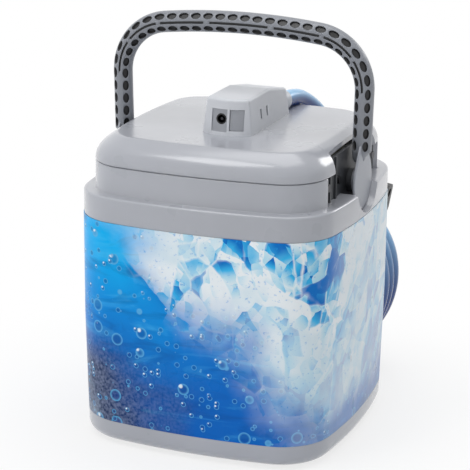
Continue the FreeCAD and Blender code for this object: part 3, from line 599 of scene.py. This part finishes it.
# Colours of the label's print, and the white of a painted reflection on it
WATER_TOP = rgb(0, 182, 250)
WATER_MIDDLE = rgb(0, 140, 224)
WATER_DEEP = rgb(0, 84, 176)
WATER_CALM = rgb(0, 112, 206)
WATER_LIGHT = rgb(88, 206, 252)
WATER_DARK = rgb(0, 70, 150)
SLATE_DARK = rgb(34, 42, 62)
SLATE_LIGHT = rgb(120, 128, 146)
PAINTED_REFLECTION_WHITE = rgb(222, 240, 250)
BUBBLE_BODY = rgb(0, 66, 150)
BUBBLE_RIM = rgb(110, 200, 246)
BUBBLE_SPOT = rgb(240, 250, 255)
ICE_DEEP = rgb(0, 116, 204)
ICE_BLUE = rgb(60, 188, 242)
ICE_PALE = rgb(184, 228, 246)
ICE_WHITE = rgb(244, 250, 253)
ICE_FINE_EDGE = rgb(244, 251, 254)
ICE_LONG_EDGE = rgb(250, 253, 255)
ICE_CLOUD = rgb(214, 234, 244)
ICE_SPARKLE = rgb(40, 160, 228)
FROST = rgb(236, 245, 250)
NOISE_MIDDLE = (0.5, 0.5, 0.5)


def label_material():
    """Generic icy print: bright blue water with bubbles, and crushed ice towards the right."""
    shader = Shader("label_film", Specular_IOR_Level=0.14)
    drift = shader.vector("SUBTRACT", shader.drift(14.0, detail=4.0), NOISE_MIDDLE)
    push = shader.vector("MULTIPLY", drift, (0.07, 0.07, 0.07))
    parts = shader.add("SeparateXYZ", {0: shader.vector("ADD", shader.coordinates, push)})
    height = parts.outputs["Z"]
    # In metres round the tub's front and right: -0.2 at the front left corner, 0 at the front right one
    around = shader.math("ADD", parts.outputs["X"], parts.outputs["Y"])
    water = water_colour(shader, around, height)
    ice = ice_colour(shader)
    slant = shader.math("ADD", around, shader.math("MULTIPLY", height, 0.9))
    icy = shader.fade(slant, -0.02, 0.05, 0.0, 1.0)
    low = shader.fade(height, 0.025, 0.06, 0.35, 1.0)
    ice = shader.mix(shader.fade(around, 0.0, 0.08, 0.0, 0.6), ice, FROST)
    shader.set("Base Color", shader.mix(shader.math("MULTIPLY", icy, low), water, ice))
    shader.set("Roughness", shader.spread(shader.noise(40.0), 0.26, 0.34))
    shader.set("Normal", shader.bump(shader.noise(70.0, detail=2.0), 0.05, 0.3))
    return shader.material


def water_colour(shader, around, height):
    """Cyan at the top, deep blue below, slate at the bottom left, with bubbles, and a painted reflection on
    the lower left edge.
    """
    colour = shader.mix(shader.fade(height, 0.165, 0.085, 0.0, 1.0), WATER_TOP, WATER_MIDDLE)
    colour = shader.mix(shader.fade(height, 0.115, 0.035, 0.0, 1.0), colour, WATER_DEEP)
    colour = shader.mix(shader.fade(around, -0.17, -0.07, 0.0, 0.7), colour, WATER_CALM)
    streaked = shader.vector("MULTIPLY", shader.coordinates, (9.0, 9.0, 42.0))
    light = shader.noise(1.0, detail=5.0, roughness=0.6, distortion=1.4, vector=streaked)
    colour = shader.mix(shader.remap(light, 0.56, 0.8, 0.0, 0.6), colour, WATER_LIGHT)
    dark = shader.noise(1.4, detail=4.0, roughness=0.6, distortion=1.0, vector=streaked)
    colour = shader.mix(shader.remap(dark, 0.5, 0.3, 0.0, 0.6), colour, WATER_DARK)
    left = shader.fade(around, -0.09, -0.17, 0.0, 1.0)
    slate = shader.math("MULTIPLY", left, shader.fade(height, 0.085, 0.04, 0.0, 0.85))
    specks = shader.remap(shader.noise(420.0), 0.35, 0.65, 0.0, 1.0)
    colour = shader.mix(slate, colour, shader.mix(specks, SLATE_DARK, SLATE_LIGHT))
    colour = bubbles(shader, colour, scale=58.0, size=0.30, rarity=0.55)
    colour = bubbles(shader, colour, scale=150.0, size=0.34, rarity=0.5)
    # Painted reflection: a white wash on the label's left edge, fading out upwards
    edge = shader.fade(around, -0.172, -0.2, 0.0, 1.0)
    painted_reflection = shader.math("MULTIPLY", edge, shader.fade(height, 0.14, 0.08, 0.0, 0.9))
    return shader.mix(painted_reflection, colour, PAINTED_REFLECTION_WHITE)


def bubbles(shader, colour, scale, size, rarity):
    """Round bubbles over a colour: a pale rim, a darker body and a small bright spot."""
    def cells(vector):
        inputs = {"Vector": vector, "Scale": scale, "Randomness": 0.85}
        return shader.add("TexVoronoi", inputs, feature="F1")

    main = cells(shader.coordinates)
    distance = main.outputs["Distance"]
    chosen = shader.math("GREATER_THAN", shader.channel(main.outputs["Color"], 0), rarity)
    inside = shader.math("MULTIPLY", chosen, shader.fade(distance, size, size * 0.88, 0.0, 1.0))
    rim = shader.math("MULTIPLY", inside, shader.fade(distance, size * 0.55, size * 0.95, 0.0, 0.7))
    aside = shader.vector("ADD", shader.coordinates, (0.12 / scale, 0.12 / scale, -0.13 / scale))
    spot = shader.fade(cells(aside).outputs["Distance"], size * 0.42, size * 0.2, 0.0, 0.95)
    spot = shader.math("MULTIPLY", spot, inside)
    colour = shader.mix(shader.math("MULTIPLY", inside, 0.45), colour, BUBBLE_BODY)
    colour = shader.mix(rim, colour, BUBBLE_RIM)
    return shader.mix(spot, colour, BUBBLE_SPOT)


def ice_colour(shader):
    """Crushed ice: facets of three sizes, each with its own slope of tone, and broken bright edges."""
    tilt = shader.add("VectorRotate", {"Vector": shader.coordinates, "Axis": (0.6, 0.5, 0.2), "Angle": 0.7})
    push = shader.vector("MULTIPLY", shader.drift(60.0, detail=2.0), (0.006, 0.006, 0.006))
    leaning = shader.vector("MULTIPLY", tilt.outputs[0], (1.0, 1.0, 0.62))
    leaning = shader.vector("ADD", leaning, push)

    def facets(scale, slope):
        inputs = {"Vector": leaning, "Scale": scale, "Randomness": 1.0}
        facet = shader.add("TexVoronoi", inputs, feature="F1")
        aim = shader.vector("SUBTRACT", facet.outputs["Color"], NOISE_MIDDLE)
        away = shader.vector("SUBTRACT", leaning, facet.outputs["Position"])
        lean = shader.add("VectorMath", {0: aim, 1: away}, operation="DOT_PRODUCT").outputs["Value"]
        lean = shader.math("MULTIPLY", lean, slope * scale)
        tone = shader.math("ADD", shader.channel(facet.outputs["Color"], 0), lean)
        gap = shader.add("TexVoronoi", inputs, feature="DISTANCE_TO_EDGE").outputs["Distance"]
        return tone, gap

    large, large_gap = facets(scale=17.0, slope=1.6)
    middle, middle_gap = facets(scale=44.0, slope=1.8)
    small, _ = facets(scale=120.0, slope=1.6)
    tone = shader.math("ADD", shader.math("MULTIPLY", large, 0.4), shader.math("MULTIPLY", middle, 0.36))
    tone = shader.math("ADD", tone, shader.math("MULTIPLY", small, 0.24))
    colour = shader.mix(shader.remap(tone, 0.18, 0.34, 0.0, 1.0), ICE_DEEP, ICE_BLUE)
    colour = shader.mix(shader.remap(tone, 0.34, 0.46, 0.0, 1.0), colour, ICE_PALE)
    colour = shader.mix(shader.remap(tone, 0.46, 0.64, 0.0, 1.0), colour, ICE_WHITE)
    broken = shader.fade(shader.noise(26.0, roughness=0.6), 0.42, 0.62, 0.0, 1.0)
    fine_edge = shader.math("MULTIPLY", broken, shader.remap(middle_gap, 0.0, 0.045, 0.8, 0.0))
    colour = shader.mix(fine_edge, colour, ICE_FINE_EDGE)
    long_edge = shader.math("MULTIPLY", broken, shader.remap(large_gap, 0.0, 0.02, 0.9, 0.0))
    colour = shader.mix(long_edge, colour, ICE_LONG_EDGE)
    cloudy = shader.fade(shader.noise(10.0, detail=4.0, roughness=0.6), 0.46, 0.62, 0.0, 0.75)
    colour = shader.mix(cloudy, colour, ICE_CLOUD)
    sparkle = shader.remap(shader.noise(330.0, roughness=0.6), 0.6, 0.72, 0.0, 0.6)
    return shader.mix(sparkle, colour, ICE_SPARKLE)


# ---------------------------------------------------------------- tub, label and rim

BASE_EDGE_STEPS = 12
LABEL_ROWS = 16
COLLAR_LOW_ROUND = 0.5
LEDGE_ROUND = 2.0
NECK_FILLET = 1.2
NECK_FILLET_MIDDLE = 0.35
RIM_ROUND = 1.0
RIM_SOFT_EDGE = 0.6
CUT_OVER = 5.0


def body_level(z, inset=0.0):
    """Section of the tub's outside, which tapers towards the base."""
    rise = min((z - BASE_Z) / TAPER_HEIGHT, 1.0)
    return z, BODY_HALF - BASE_TAPER * (1.0 - rise) - inset, BODY_CORNER - inset


def neck_level(z, inset=0.0):
    """Section of the neck above the ledge, which the lid's foot follows."""
    return z, NECK_HALF - inset, NECK_CORNER - inset


def make_tub(material):
    """Shell: up the outside with the label's seat, then down the inside."""
    outside = edge_levels(body_level, BASE_Z, BASE_EDGE_ROUND, steps=BASE_EDGE_STEPS, upper=False)
    outside += edge_levels(body_level, LABEL_Z, LABEL_THICKNESS, steps=4, upper=True)
    outside += [body_level(z, LABEL_THICKNESS) for z in (LABEL_Z, BASE_Z + TAPER_HEIGHT, COLLAR_Z)]

    def inner(z, inset):
        return body_level(z, inset + SHELL_WALL)

    inside = [body_level(z, SHELL_WALL) for z in (COLLAR_Z, BASE_Z + TAPER_HEIGHT)]
    inner_round = BASE_EDGE_ROUND - SHELL_WALL
    inside += edge_levels(inner, BASE_Z + SHELL_FLOOR, inner_round, BASE_EDGE_STEPS // 2, upper=False)[::-1]
    piece = lofted("tub", outside + inside)
    shade(piece)
    dress(piece, "root", [material["shell_plastic"]], ["bucket_shell"])


def make_label(material):
    """Printed wrap: up its outside, then down its inside."""
    heights = [LABEL_Z + (COLLAR_Z - LABEL_Z) * row / LABEL_ROWS for row in range(LABEL_ROWS + 1)]
    levels = [body_level(z) for z in heights]
    levels += [body_level(z, LABEL_THICKNESS) for z in heights[::-1]]
    piece = lofted("label", levels, closed=True)
    shade(piece)
    dress(piece, "root", [material["label_film"]], ["label_wrap"])


def make_rim(material):
    """Collar, ledge and neck, with the handle's pockets and round notches cut out."""
    def collar(z, inset):
        return body_level(z, inset + COLLAR_INSET)

    def flange(z):
        return z, LINER_HALF + LINER_FLANGE_REACH, LINER_CORNER + LINER_FLANGE_REACH

    def liner(z):
        return z, LINER_HALF, LINER_CORNER

    flange_z = RIM_Z - LINER_FLANGE_THICKNESS
    levels = edge_levels(collar, COLLAR_Z, COLLAR_LOW_ROUND, steps=3, upper=False)
    levels += edge_levels(collar, LEDGE_Z, LEDGE_ROUND, steps=8, upper=True)
    levels.append(neck_level(LEDGE_Z, -NECK_FILLET))
    levels.append(neck_level(LEDGE_Z + NECK_FILLET_MIDDLE, -NECK_FILLET_MIDDLE))
    levels.append(neck_level(LEDGE_Z + NECK_FILLET))
    levels += edge_levels(neck_level, RIM_Z, RIM_ROUND, steps=5, upper=True)
    levels += [flange(RIM_Z), flange(flange_z), liner(flange_z), liner(COLLAR_Z)]
    piece = lofted("rim", levels, closed=True)
    cutters = []
    for side in (-1, 1):
        cutters.append(pocket_cutter(side, POCKET_HALF, LEDGE_Z, RIM_Z + CUT_OVER, 0.0))
        start, end = (mm(side * x, HANDLE_Y, PIVOT_Z) for x in (POCKET_BACK, POCKET_REACH))
        cutters.append(rod(start, end, (PADDLE_RADIUS + NOTCH_GAP) * MM))
        cutters.append(notch_cone(side))
    carve(piece, cutters)
    soften(piece, RIM_SOFT_EDGE)
    dress(piece, "root", [material["shell_plastic"]], ["rim_ring"])


# ---------------------------------------------------------------- lid

SHOULDER_STEPS = 26
LID_FOOT_INSET = 0.8
LID_FOOT_ROUND = 0.25
CREST_ROUND = 2.2
CREST_STEPS = 6
CREST_FLAT = 1.0
LID_SOFT_EDGE = 0.9
LID_CUT_OVER = 10.0


def shoulder_level(share, wall=0.0):
    """Section of the lid's convex shoulder, at a share of the way up from its foot to its crest."""
    drop = SHOULDER_INSET * share ** SHOULDER_POWER
    corner = NECK_CORNER + (CREST_CORNER - NECK_CORNER) * drop / SHOULDER_INSET
    z = LID_Z + share * (CREST_Z - LID_Z - wall)
    return z, NECK_HALF - drop - wall, corner - wall


def drawn_in(level, inset):
    """A section at the same height, smaller by an inset."""
    z, half, corner = level
    return z, half - inset, corner - inset


def blended(first, crest, last, steps):
    """Levels on a quadratic curve that rounds off the crest."""
    levels = []
    for step in range(steps + 1):
        t = step / steps
        parts = zip(first, crest, last)
        levels.append(tuple((1 - t) ** 2 * a + 2 * t * (1 - t) * b + t * t * c for a, b, c in parts))
    return levels


def make_lid(material):
    """Lid cover: up the shoulder and over the crest to the flat top, and the same inside."""
    shares = [step / SHOULDER_STEPS for step in range(SHOULDER_STEPS + 1)]
    outside = [neck_level(LID_Z, LID_FOOT_INSET), neck_level(LID_Z + LID_FOOT_ROUND, LID_FOOT_ROUND)]
    outside += [shoulder_level(share) for share in shares[1:-2]]
    crest = shoulder_level(1.0)
    top = drawn_in(crest, CREST_ROUND)
    outside += blended(shoulder_level(shares[-2]), crest, top, CREST_STEPS)
    # A flat ring inside the rounded crest, so that the top face's own shading is even
    outside.append(drawn_in(top, CREST_FLAT))
    inside = [shoulder_level(share, LID_WALL) for share in shares[::2]]
    piece = lofted("lid_cover", outside[::-1] + inside)
    low_z, high_z = LID_Z - CUT_OVER, CREST_Z + LID_CUT_OVER
    carve(piece, [pocket_cutter(side, LID_POCKET_HALF, low_z, high_z, POCKET_GAP) for side in (-1, 1)])
    soften(piece, LID_SOFT_EDGE)
    dress(piece, "lid", [material["shell_plastic"]], ["lid_shell"])


# ---------------------------------------------------------------- handle

CELL_COUNT = 34
CELL_STEPS = 8
WINDOW_TURN = 38.0
WINDOW_HALF_TURN = 20.0
WINDOW_LONG = 3.9
WINDOW_WIDE = 2.8
WINDOW_DEPTH = 1.7
# Rings of a window from its rim to its floor: share of its size, and depth
WINDOW_RINGS = [(1.14, 0.0), (1.0, 0.22), (0.92, 0.8), (0.86, WINDOW_DEPTH)]
# Below this many rings the frame ends and the dark core shows
WINDOW_RIM_RINGS = 2
GROOVE_HALF_TURN = 8.0
GROOVE_DEPTH = 1.0
# Across a dash: share of its half turn, and depth
GROOVE_PROFILE = [
    (-1.0, 0.0), (-0.8, 0.15), (-0.62, GROOVE_DEPTH),
    (0.62, GROOVE_DEPTH), (0.8, 0.15), (1.0, 0.0),
]
# From the top's middle along the handle, the same on both sides
DASH_SPANS = [(0.0, 24.5), (27.5, 64.0), (67.0, 94.0), (97.0, 122.0)]
PADDLE_CHAMFER = 0.4
PADDLE_EDGE_STEPS = 8


class Bail:
    """The handle's centre line by arc length from the top's middle, and its surface."""

    def __init__(self):
        lean = math.radians(HANDLE_LEAN)
        foot = Vector((HANDLE_FOOT_HALF, PIVOT_Z + HANDLE_FOOT_RISE))
        self.up = Vector((math.sin(lean), math.cos(lean)))
        inward = Vector((-math.cos(lean), math.sin(lean)))
        top_z = PIVOT_Z + HANDLE_TOP_RISE
        self.crown_centre = Vector((0.0, top_z - HANDLE_CROWN_RADIUS))
        line_start = foot + inward * HANDLE_CORNER_RADIUS - self.crown_centre
        reach = HANDLE_CROWN_RADIUS - HANDLE_CORNER_RADIUS
        along = line_start.dot(self.up)
        rise = math.sqrt(along * along - line_start.dot(line_start) + reach * reach) - along
        self.corner_centre = foot + inward * HANDLE_CORNER_RADIUS + self.up * rise
        out = self.corner_centre - self.crown_centre
        self.crown_turn = math.atan2(out.x, out.y)
        self.arm_turn = math.pi / 2 + lean
        self.crown_length = HANDLE_CROWN_RADIUS * self.crown_turn
        self.corner_length = HANDLE_CORNER_RADIUS * (self.arm_turn - self.crown_turn)
        self.half_length = self.crown_length + self.corner_length + rise

    def at(self, distance):
        """Centre and outward direction, each as (x, z), at a distance from the middle."""
        side = 1.0 if distance >= 0 else -1.0
        run = abs(distance)
        if run <= self.crown_length:
            turn = run / HANDLE_CROWN_RADIUS
            centre, radius = self.crown_centre, HANDLE_CROWN_RADIUS
        elif run <= self.crown_length + self.corner_length:
            turn = self.crown_turn + (run - self.crown_length) / HANDLE_CORNER_RADIUS
            centre, radius = self.corner_centre, HANDLE_CORNER_RADIUS
        else:
            turn = self.arm_turn
            centre, radius = self.corner_centre, HANDLE_CORNER_RADIUS
        outward = Vector((math.sin(turn), math.cos(turn)))
        place = centre + outward * radius
        if run > self.crown_length + self.corner_length:
            place = place - self.up * (run - self.crown_length - self.corner_length)
        return Vector((side * place.x, place.y)), Vector((side * outward.x, outward.y))

    def radius(self, distance):
        """The tube's radius: the top's, easing through the corners to the arms'."""
        share = (abs(distance) - self.crown_length) / self.corner_length
        return HANDLE_RADIUS + (ARM_RADIUS - HANDLE_RADIUS) * min(max(share, 0.0), 1.0)

    def surface(self, distance, turn, depth=0.0):
        """Point of the tube's surface; turn is in degrees from the front towards the outside."""
        centre, outward = self.at(distance)
        angle = math.radians(turn)
        radius = self.radius(distance) - depth
        out = radius * math.sin(angle)
        return mm(centre.x + outward.x * out, HANDLE_Y - radius * math.cos(angle), centre.y + outward.y * out)


def half_ball(centre, first, second, radius, rings=12, steps=48):
    """Rings of a half ball below the plane of two directions, from its rim to its pole."""
    down = first.cross(second)
    if down.z > 0:
        down = -down
    turns = [first * math.cos(turn) + second * math.sin(turn) for turn in full_turn(steps)]
    ball = []
    for angle in quarter_turn(rings):
        ball.append([centre + (flat * math.cos(angle) + down * math.sin(angle)) * radius for flat in turns])
    return ball


def square_border():
    """Points round the square from -1 to 1, CELL_STEPS to a side."""
    border = []
    for side in range(4):
        for step in range(CELL_STEPS):
            share = 2.0 * step / CELL_STEPS - 1.0
            border.append([(share, -1.0), (1.0, share), (-share, 1.0), (-1.0, -share)][side])
    return border


def in_dash(distance):
    """Whether a dash lies at a distance from the top's middle."""
    return any(low <= abs(distance) <= high for low, high in DASH_SPANS)


class BailSkin:
    """The faces of the handle's tube, made cell by cell, and which of them are dark."""

    def __init__(self):
        self.bail = Bail()
        self.pitch = 2 * self.bail.half_length / CELL_COUNT
        self.border = square_border()
        self.vertices = []
        self.faces = []
        self.dark = []

    def add_face(self, points, dark=False):
        start = len(self.vertices)
        self.vertices.extend(points)
        self.faces.append(tuple(range(start, start + len(points))))
        self.dark.append(dark)

    def add_rings(self, first, second, dark=False):
        """Faces between two rings of equal length."""
        for index in range(len(first)):
            after = (index + 1) % len(first)
            self.add_face([first[index], first[after], second[after], second[index]], dark)

    def columns(self, start):
        """Start and end of each of a cell's columns, as distances along the handle."""
        places = [start + self.pitch * column / CELL_STEPS for column in range(CELL_STEPS + 1)]
        return zip(places, places[1:])

    def oval(self, middle, middle_turn, scale, depth):
        """One ring of a window, with a point for each point of the cell's border."""
        turn_per_mm = 180.0 / (math.pi * HANDLE_RADIUS)
        points = []
        for u, v in self.border:
            angle = math.atan2(v, u)
            distance = middle + WINDOW_LONG * scale * math.cos(angle)
            turn = middle_turn + WINDOW_WIDE * scale * math.sin(angle) * turn_per_mm
            points.append(self.bail.surface(distance, turn, depth))
        return points

    def window_cell(self, start, middle_turn):
        """Rectangle of the surface round an oval window with its rim, wall and floor."""
        middle = start + self.pitch / 2
        rings = [[]]
        for u, v in self.border:
            place = middle + u * self.pitch / 2
            rings[0].append(self.bail.surface(place, middle_turn + v * WINDOW_HALF_TURN))
        rings += [self.oval(middle, middle_turn, scale, depth) for scale, depth in WINDOW_RINGS]
        for level, (first, second) in enumerate(zip(rings, rings[1:])):
            self.add_rings(first, second, level >= WINDOW_RIM_RINGS)
        self.add_face(rings[-1], dark=True)

    def plain_band(self, start, low, high, rows):
        """Plain part of a cell between two turns."""
        turns = [low + (high - low) * row / rows for row in range(rows + 1)]
        surface = self.bail.surface
        for a, b in self.columns(start):
            for c, d in zip(turns, turns[1:]):
                self.add_face([surface(a, c), surface(b, c), surface(b, d), surface(a, d)])

    def groove_band(self, start, middle_turn):
        """Narrow band that carries the long dashes."""
        surface = self.bail.surface
        for a, b in self.columns(start):
            sink_a, sink_b = float(in_dash(a)), float(in_dash(b))
            for (low, low_depth), (high, high_depth) in zip(GROOVE_PROFILE, GROOVE_PROFILE[1:]):
                c = middle_turn + GROOVE_HALF_TURN * low
                d = middle_turn + GROOVE_HALF_TURN * high
                points = [
                    surface(a, c, sink_a * low_depth),
                    surface(b, c, sink_b * low_depth),
                    surface(b, d, sink_b * high_depth),
                    surface(a, d, sink_a * high_depth),
                ]
                deep = max(low_depth, high_depth) == GROOVE_DEPTH
                self.add_face(points, deep and in_dash(a) and in_dash(b))

    def add_cell(self, start):
        """One cell round the tube: two windows and a band of dashes on its front, and the same behind."""
        land = WINDOW_TURN - WINDOW_HALF_TURN
        edge = WINDOW_TURN + WINDOW_HALF_TURN
        for face_turn in (0.0, 180.0):
            for way in (-1, 1):
                self.window_cell(start, face_turn + way * WINDOW_TURN)
            self.plain_band(start, face_turn - land, face_turn - GROOVE_HALF_TURN, rows=2)
            self.plain_band(start, face_turn + GROOVE_HALF_TURN, face_turn + land, rows=2)
            self.groove_band(start, face_turn)
            self.plain_band(start, face_turn + edge, face_turn + 180.0 - edge, rows=8)

    def add_toe(self, side):
        """Round end of an arm: it narrows from the arm's own ring to a smaller half ball."""
        foot, _ = self.bail.at(side * self.bail.half_length)
        centre = mm(foot.x, HANDLE_Y, foot.y)
        tip = mm(foot.x - side * TOE_INSET, HANDLE_Y, foot.y - TOE_DROP)
        along_y = Vector((0, 1, 0))
        inward = Vector((-side * self.bail.up.y, 0, self.bail.up.x))
        arm = half_ball(centre, along_y, inward, ARM_RADIUS * MM)
        rings = arm[:1] + half_ball(tip, along_y, inward, TOE_RADIUS * MM)
        for first, second in zip(rings, rings[1:]):
            self.add_rings(first, second)


def make_bail(material):
    """Windowed frame of the handle; the walls and floors of its windows and dashes show the dark core."""
    surface = BailSkin()
    for cell in range(CELL_COUNT):
        surface.add_cell(-surface.bail.half_length + surface.pitch * cell)
    for side in (-1, 1):
        surface.add_toe(side)
    piece = new_piece("handle_bail", surface.vertices, surface.faces)
    piece.data.polygons.foreach_set("material_index", [int(dark) for dark in surface.dark])
    face_outwards(piece, merge=True)
    shade(piece, angle=40.0)
    dress(piece, "handle", [material["handle_plastic"], material["black_plastic"]],
          ["handle_frame", "handle_core"])


def paddle_outline(side, x, offset):
    """Hull of the pivot disc and the plate's round neck, drawn in by offset."""
    neck_slope = (PADDLE_RADIUS - PADDLE_NECK_RADIUS) / PADDLE_NECK_RISE
    points = []
    for angle in full_turn(ROUND_STEPS):
        radius, z = PADDLE_RADIUS, PIVOT_Z
        if math.sin(angle) > neck_slope:
            radius, z = PADDLE_NECK_RADIUS, PIVOT_Z + PADDLE_NECK_RISE
        reach = radius - offset
        points.append(mm(side * x, HANDLE_Y + reach * math.cos(angle), z + reach * math.sin(angle)))
    return points[::side]


def make_paddles(material):
    """Round end plate of each arm: hub, chamfered back and rounded outer edge."""
    for side, name in ((-1, "handle_paddle_left"), (1, "handle_paddle_right")):
        rings = [side_circle(side, x, PIVOT_Z, HUB_RADIUS) for x in (HUB_X, PADDLE_X)]
        rings.append(paddle_outline(side, PADDLE_X, PADDLE_CHAMFER))
        rings.append(paddle_outline(side, PADDLE_X + PADDLE_CHAMFER, 0.0))
        for angle in quarter_turn(PADDLE_EDGE_STEPS):
            x = PADDLE_X + PADDLE_THICKNESS - PADDLE_EDGE_ROUND * (1.0 - math.sin(angle))
            rings.append(paddle_outline(side, x, PADDLE_EDGE_ROUND * (1.0 - math.cos(angle))))
        piece = new_piece(name, *skin(rings))
        shade(piece, angle=30.0)
        dress(piece, "handle", [material["paddle_plastic"]])


# ---------------------------------------------------------------- studio

WHITE = (1.0, 1.0, 1.0, 1.0)
BACKDROP_STRENGTH = 1.0
SKY_COLOUR = (0.94, 0.97, 1.0, 1.0)
SKY_STRENGTH = 0.36
FLOOR_HALF = 4.0
FLOOR_COLOUR = (0.93, 0.93, 0.93, 1.0)
FLOOR_ROUGHNESS = 0.9
# The floor's share of backdrop white grows between these distances from the object's middle
FLOOR_FADE = (0.10, 0.32)
FLOOR_NEAR_SHARE = 0.75
LAMP_TARGET = Vector((0.0, 0.0, 0.15))
# Name, place, size, power in watts, and the kind of light that a lamp doesn't give
LAMPS = [
    ("overhead", (0.1, 0.2, 2.4), 1.6, 23.0, None),
    ("key", (-0.66, -0.79, 2.16), 0.65, 8.2, None),
    ("front", (-0.9, -1.7, 0.5), 0.8, 7.0, "visible_glossy"),
    ("right", (1.6, -0.5, 0.6), 0.6, 1.2, "visible_glossy"),
    ("rear_right", (0.87, 1.5, 0.95), 0.5, 4.5, "visible_diffuse"),
    ("left", (-1.5, 0.3, 0.12), 0.5, 3.5, "visible_glossy"),
]


def make_world():
    """White where it is seen directly, and a dimmer, cooler light on the object."""
    world = bpy.data.worlds.new("studio")
    world.use_nodes = True
    world.node_tree.nodes.clear()
    bpy.context.scene.world = world
    nodes = Nodes(world.node_tree)
    soft = nodes.add("Background", {"Color": SKY_COLOUR, "Strength": SKY_STRENGTH})
    white = nodes.add("Background", {"Color": WHITE, "Strength": BACKDROP_STRENGTH})
    mixed = nodes.add("MixShader", {0: nodes.seen_directly(), 1: soft.outputs[0], 2: white.outputs[0]})
    nodes.add("OutputWorld", {"Surface": mixed.outputs[0]})


def make_floor():
    """Matt floor near the object, which fades into the backdrop's white further out."""
    corners = [(x * FLOOR_HALF, y * FLOOR_HALF, 0.0) for x, y in ((-1, -1), (1, -1), (1, 1), (-1, 1))]
    floor = new_piece("floor", corners, [(0, 1, 2, 3)])
    shader = Shader("floor_white")
    shader.set("Base Color", FLOOR_COLOUR)
    shader.set("Roughness", FLOOR_ROUGHNESS)
    distance = shader.add("VectorMath", {0: shader.coordinates}, operation="LENGTH").outputs["Value"]
    far_share = shader.fade(distance, *FLOOR_FADE, FLOOR_NEAR_SHARE, 1.0)
    share = shader.math("MULTIPLY", far_share, shader.seen_directly())
    glow = shader.add("Emission", {"Color": WHITE, "Strength": BACKDROP_STRENGTH})
    mixed = shader.add("MixShader", {0: share, 1: shader.surface.outputs[0], 2: glow.outputs[0]})
    shader.plug(shader.tree.nodes["Material Output"].inputs["Surface"], mixed.outputs[0])
    floor.data.materials.append(shader.material)


def make_lamp(name, place, size, power, hidden):
    """Square lamp aimed at the object; hidden names the kind of light that it doesn't give."""
    data = bpy.data.lights.new(name, "AREA")
    data.shape = "SQUARE"
    data.size = size
    data.energy = power
    lamp = bpy.data.objects.new(name, data)
    bpy.context.scene.collection.objects.link(lamp)
    lamp.rotation_mode = "QUATERNION"
    lamp.rotation_quaternion = (LAMP_TARGET - Vector(place)).to_track_quat("-Z", "Y")
    lamp.location = place
    if hidden:
        setattr(lamp, hidden, False)


def make_studio():
    make_world()
    make_floor()
    for lamp in LAMPS:
        make_lamp(*lamp)
    bpy.context.scene.view_settings.view_transform = "Standard"


# ---------------------------------------------------------------- scene

SOLID_SOFT_EDGES = {"hose_coupling": 1.5, "power_button": 0.3, "pump_housing": 0.3}
# The jack pin's darker steel is painted shade
# The pump housing's lighter plastic is painted light
SOLID_MATERIALS = {"pump_housing": "housing_plastic_painted_light", "jack_pin": "blackened_steel"}


def dress_solids(material):
    """Gives each solid its slot's material or one of its own, and softens the edges of a few."""
    for entry in frame["record"]["subparts"]:
        name = SOLID_MATERIALS.get(entry["node"], entry["material_slot"])
        node = frame["nodes"][entry["node"]]
        node.data.materials.clear()
        node.data.materials.append(material[name])
    for name, width in SOLID_SOFT_EDGES.items():
        soften(frame["nodes"][name], width)


material = make_materials()
make_tub(material)
make_label(material)
make_rim(material)
make_lid(material)
make_bail(material)
make_paddles(material)
dress_solids(material)
hose.data.materials.append(material["hose_sleeve"])
make_studio()

bpy.context.view_layer.update()
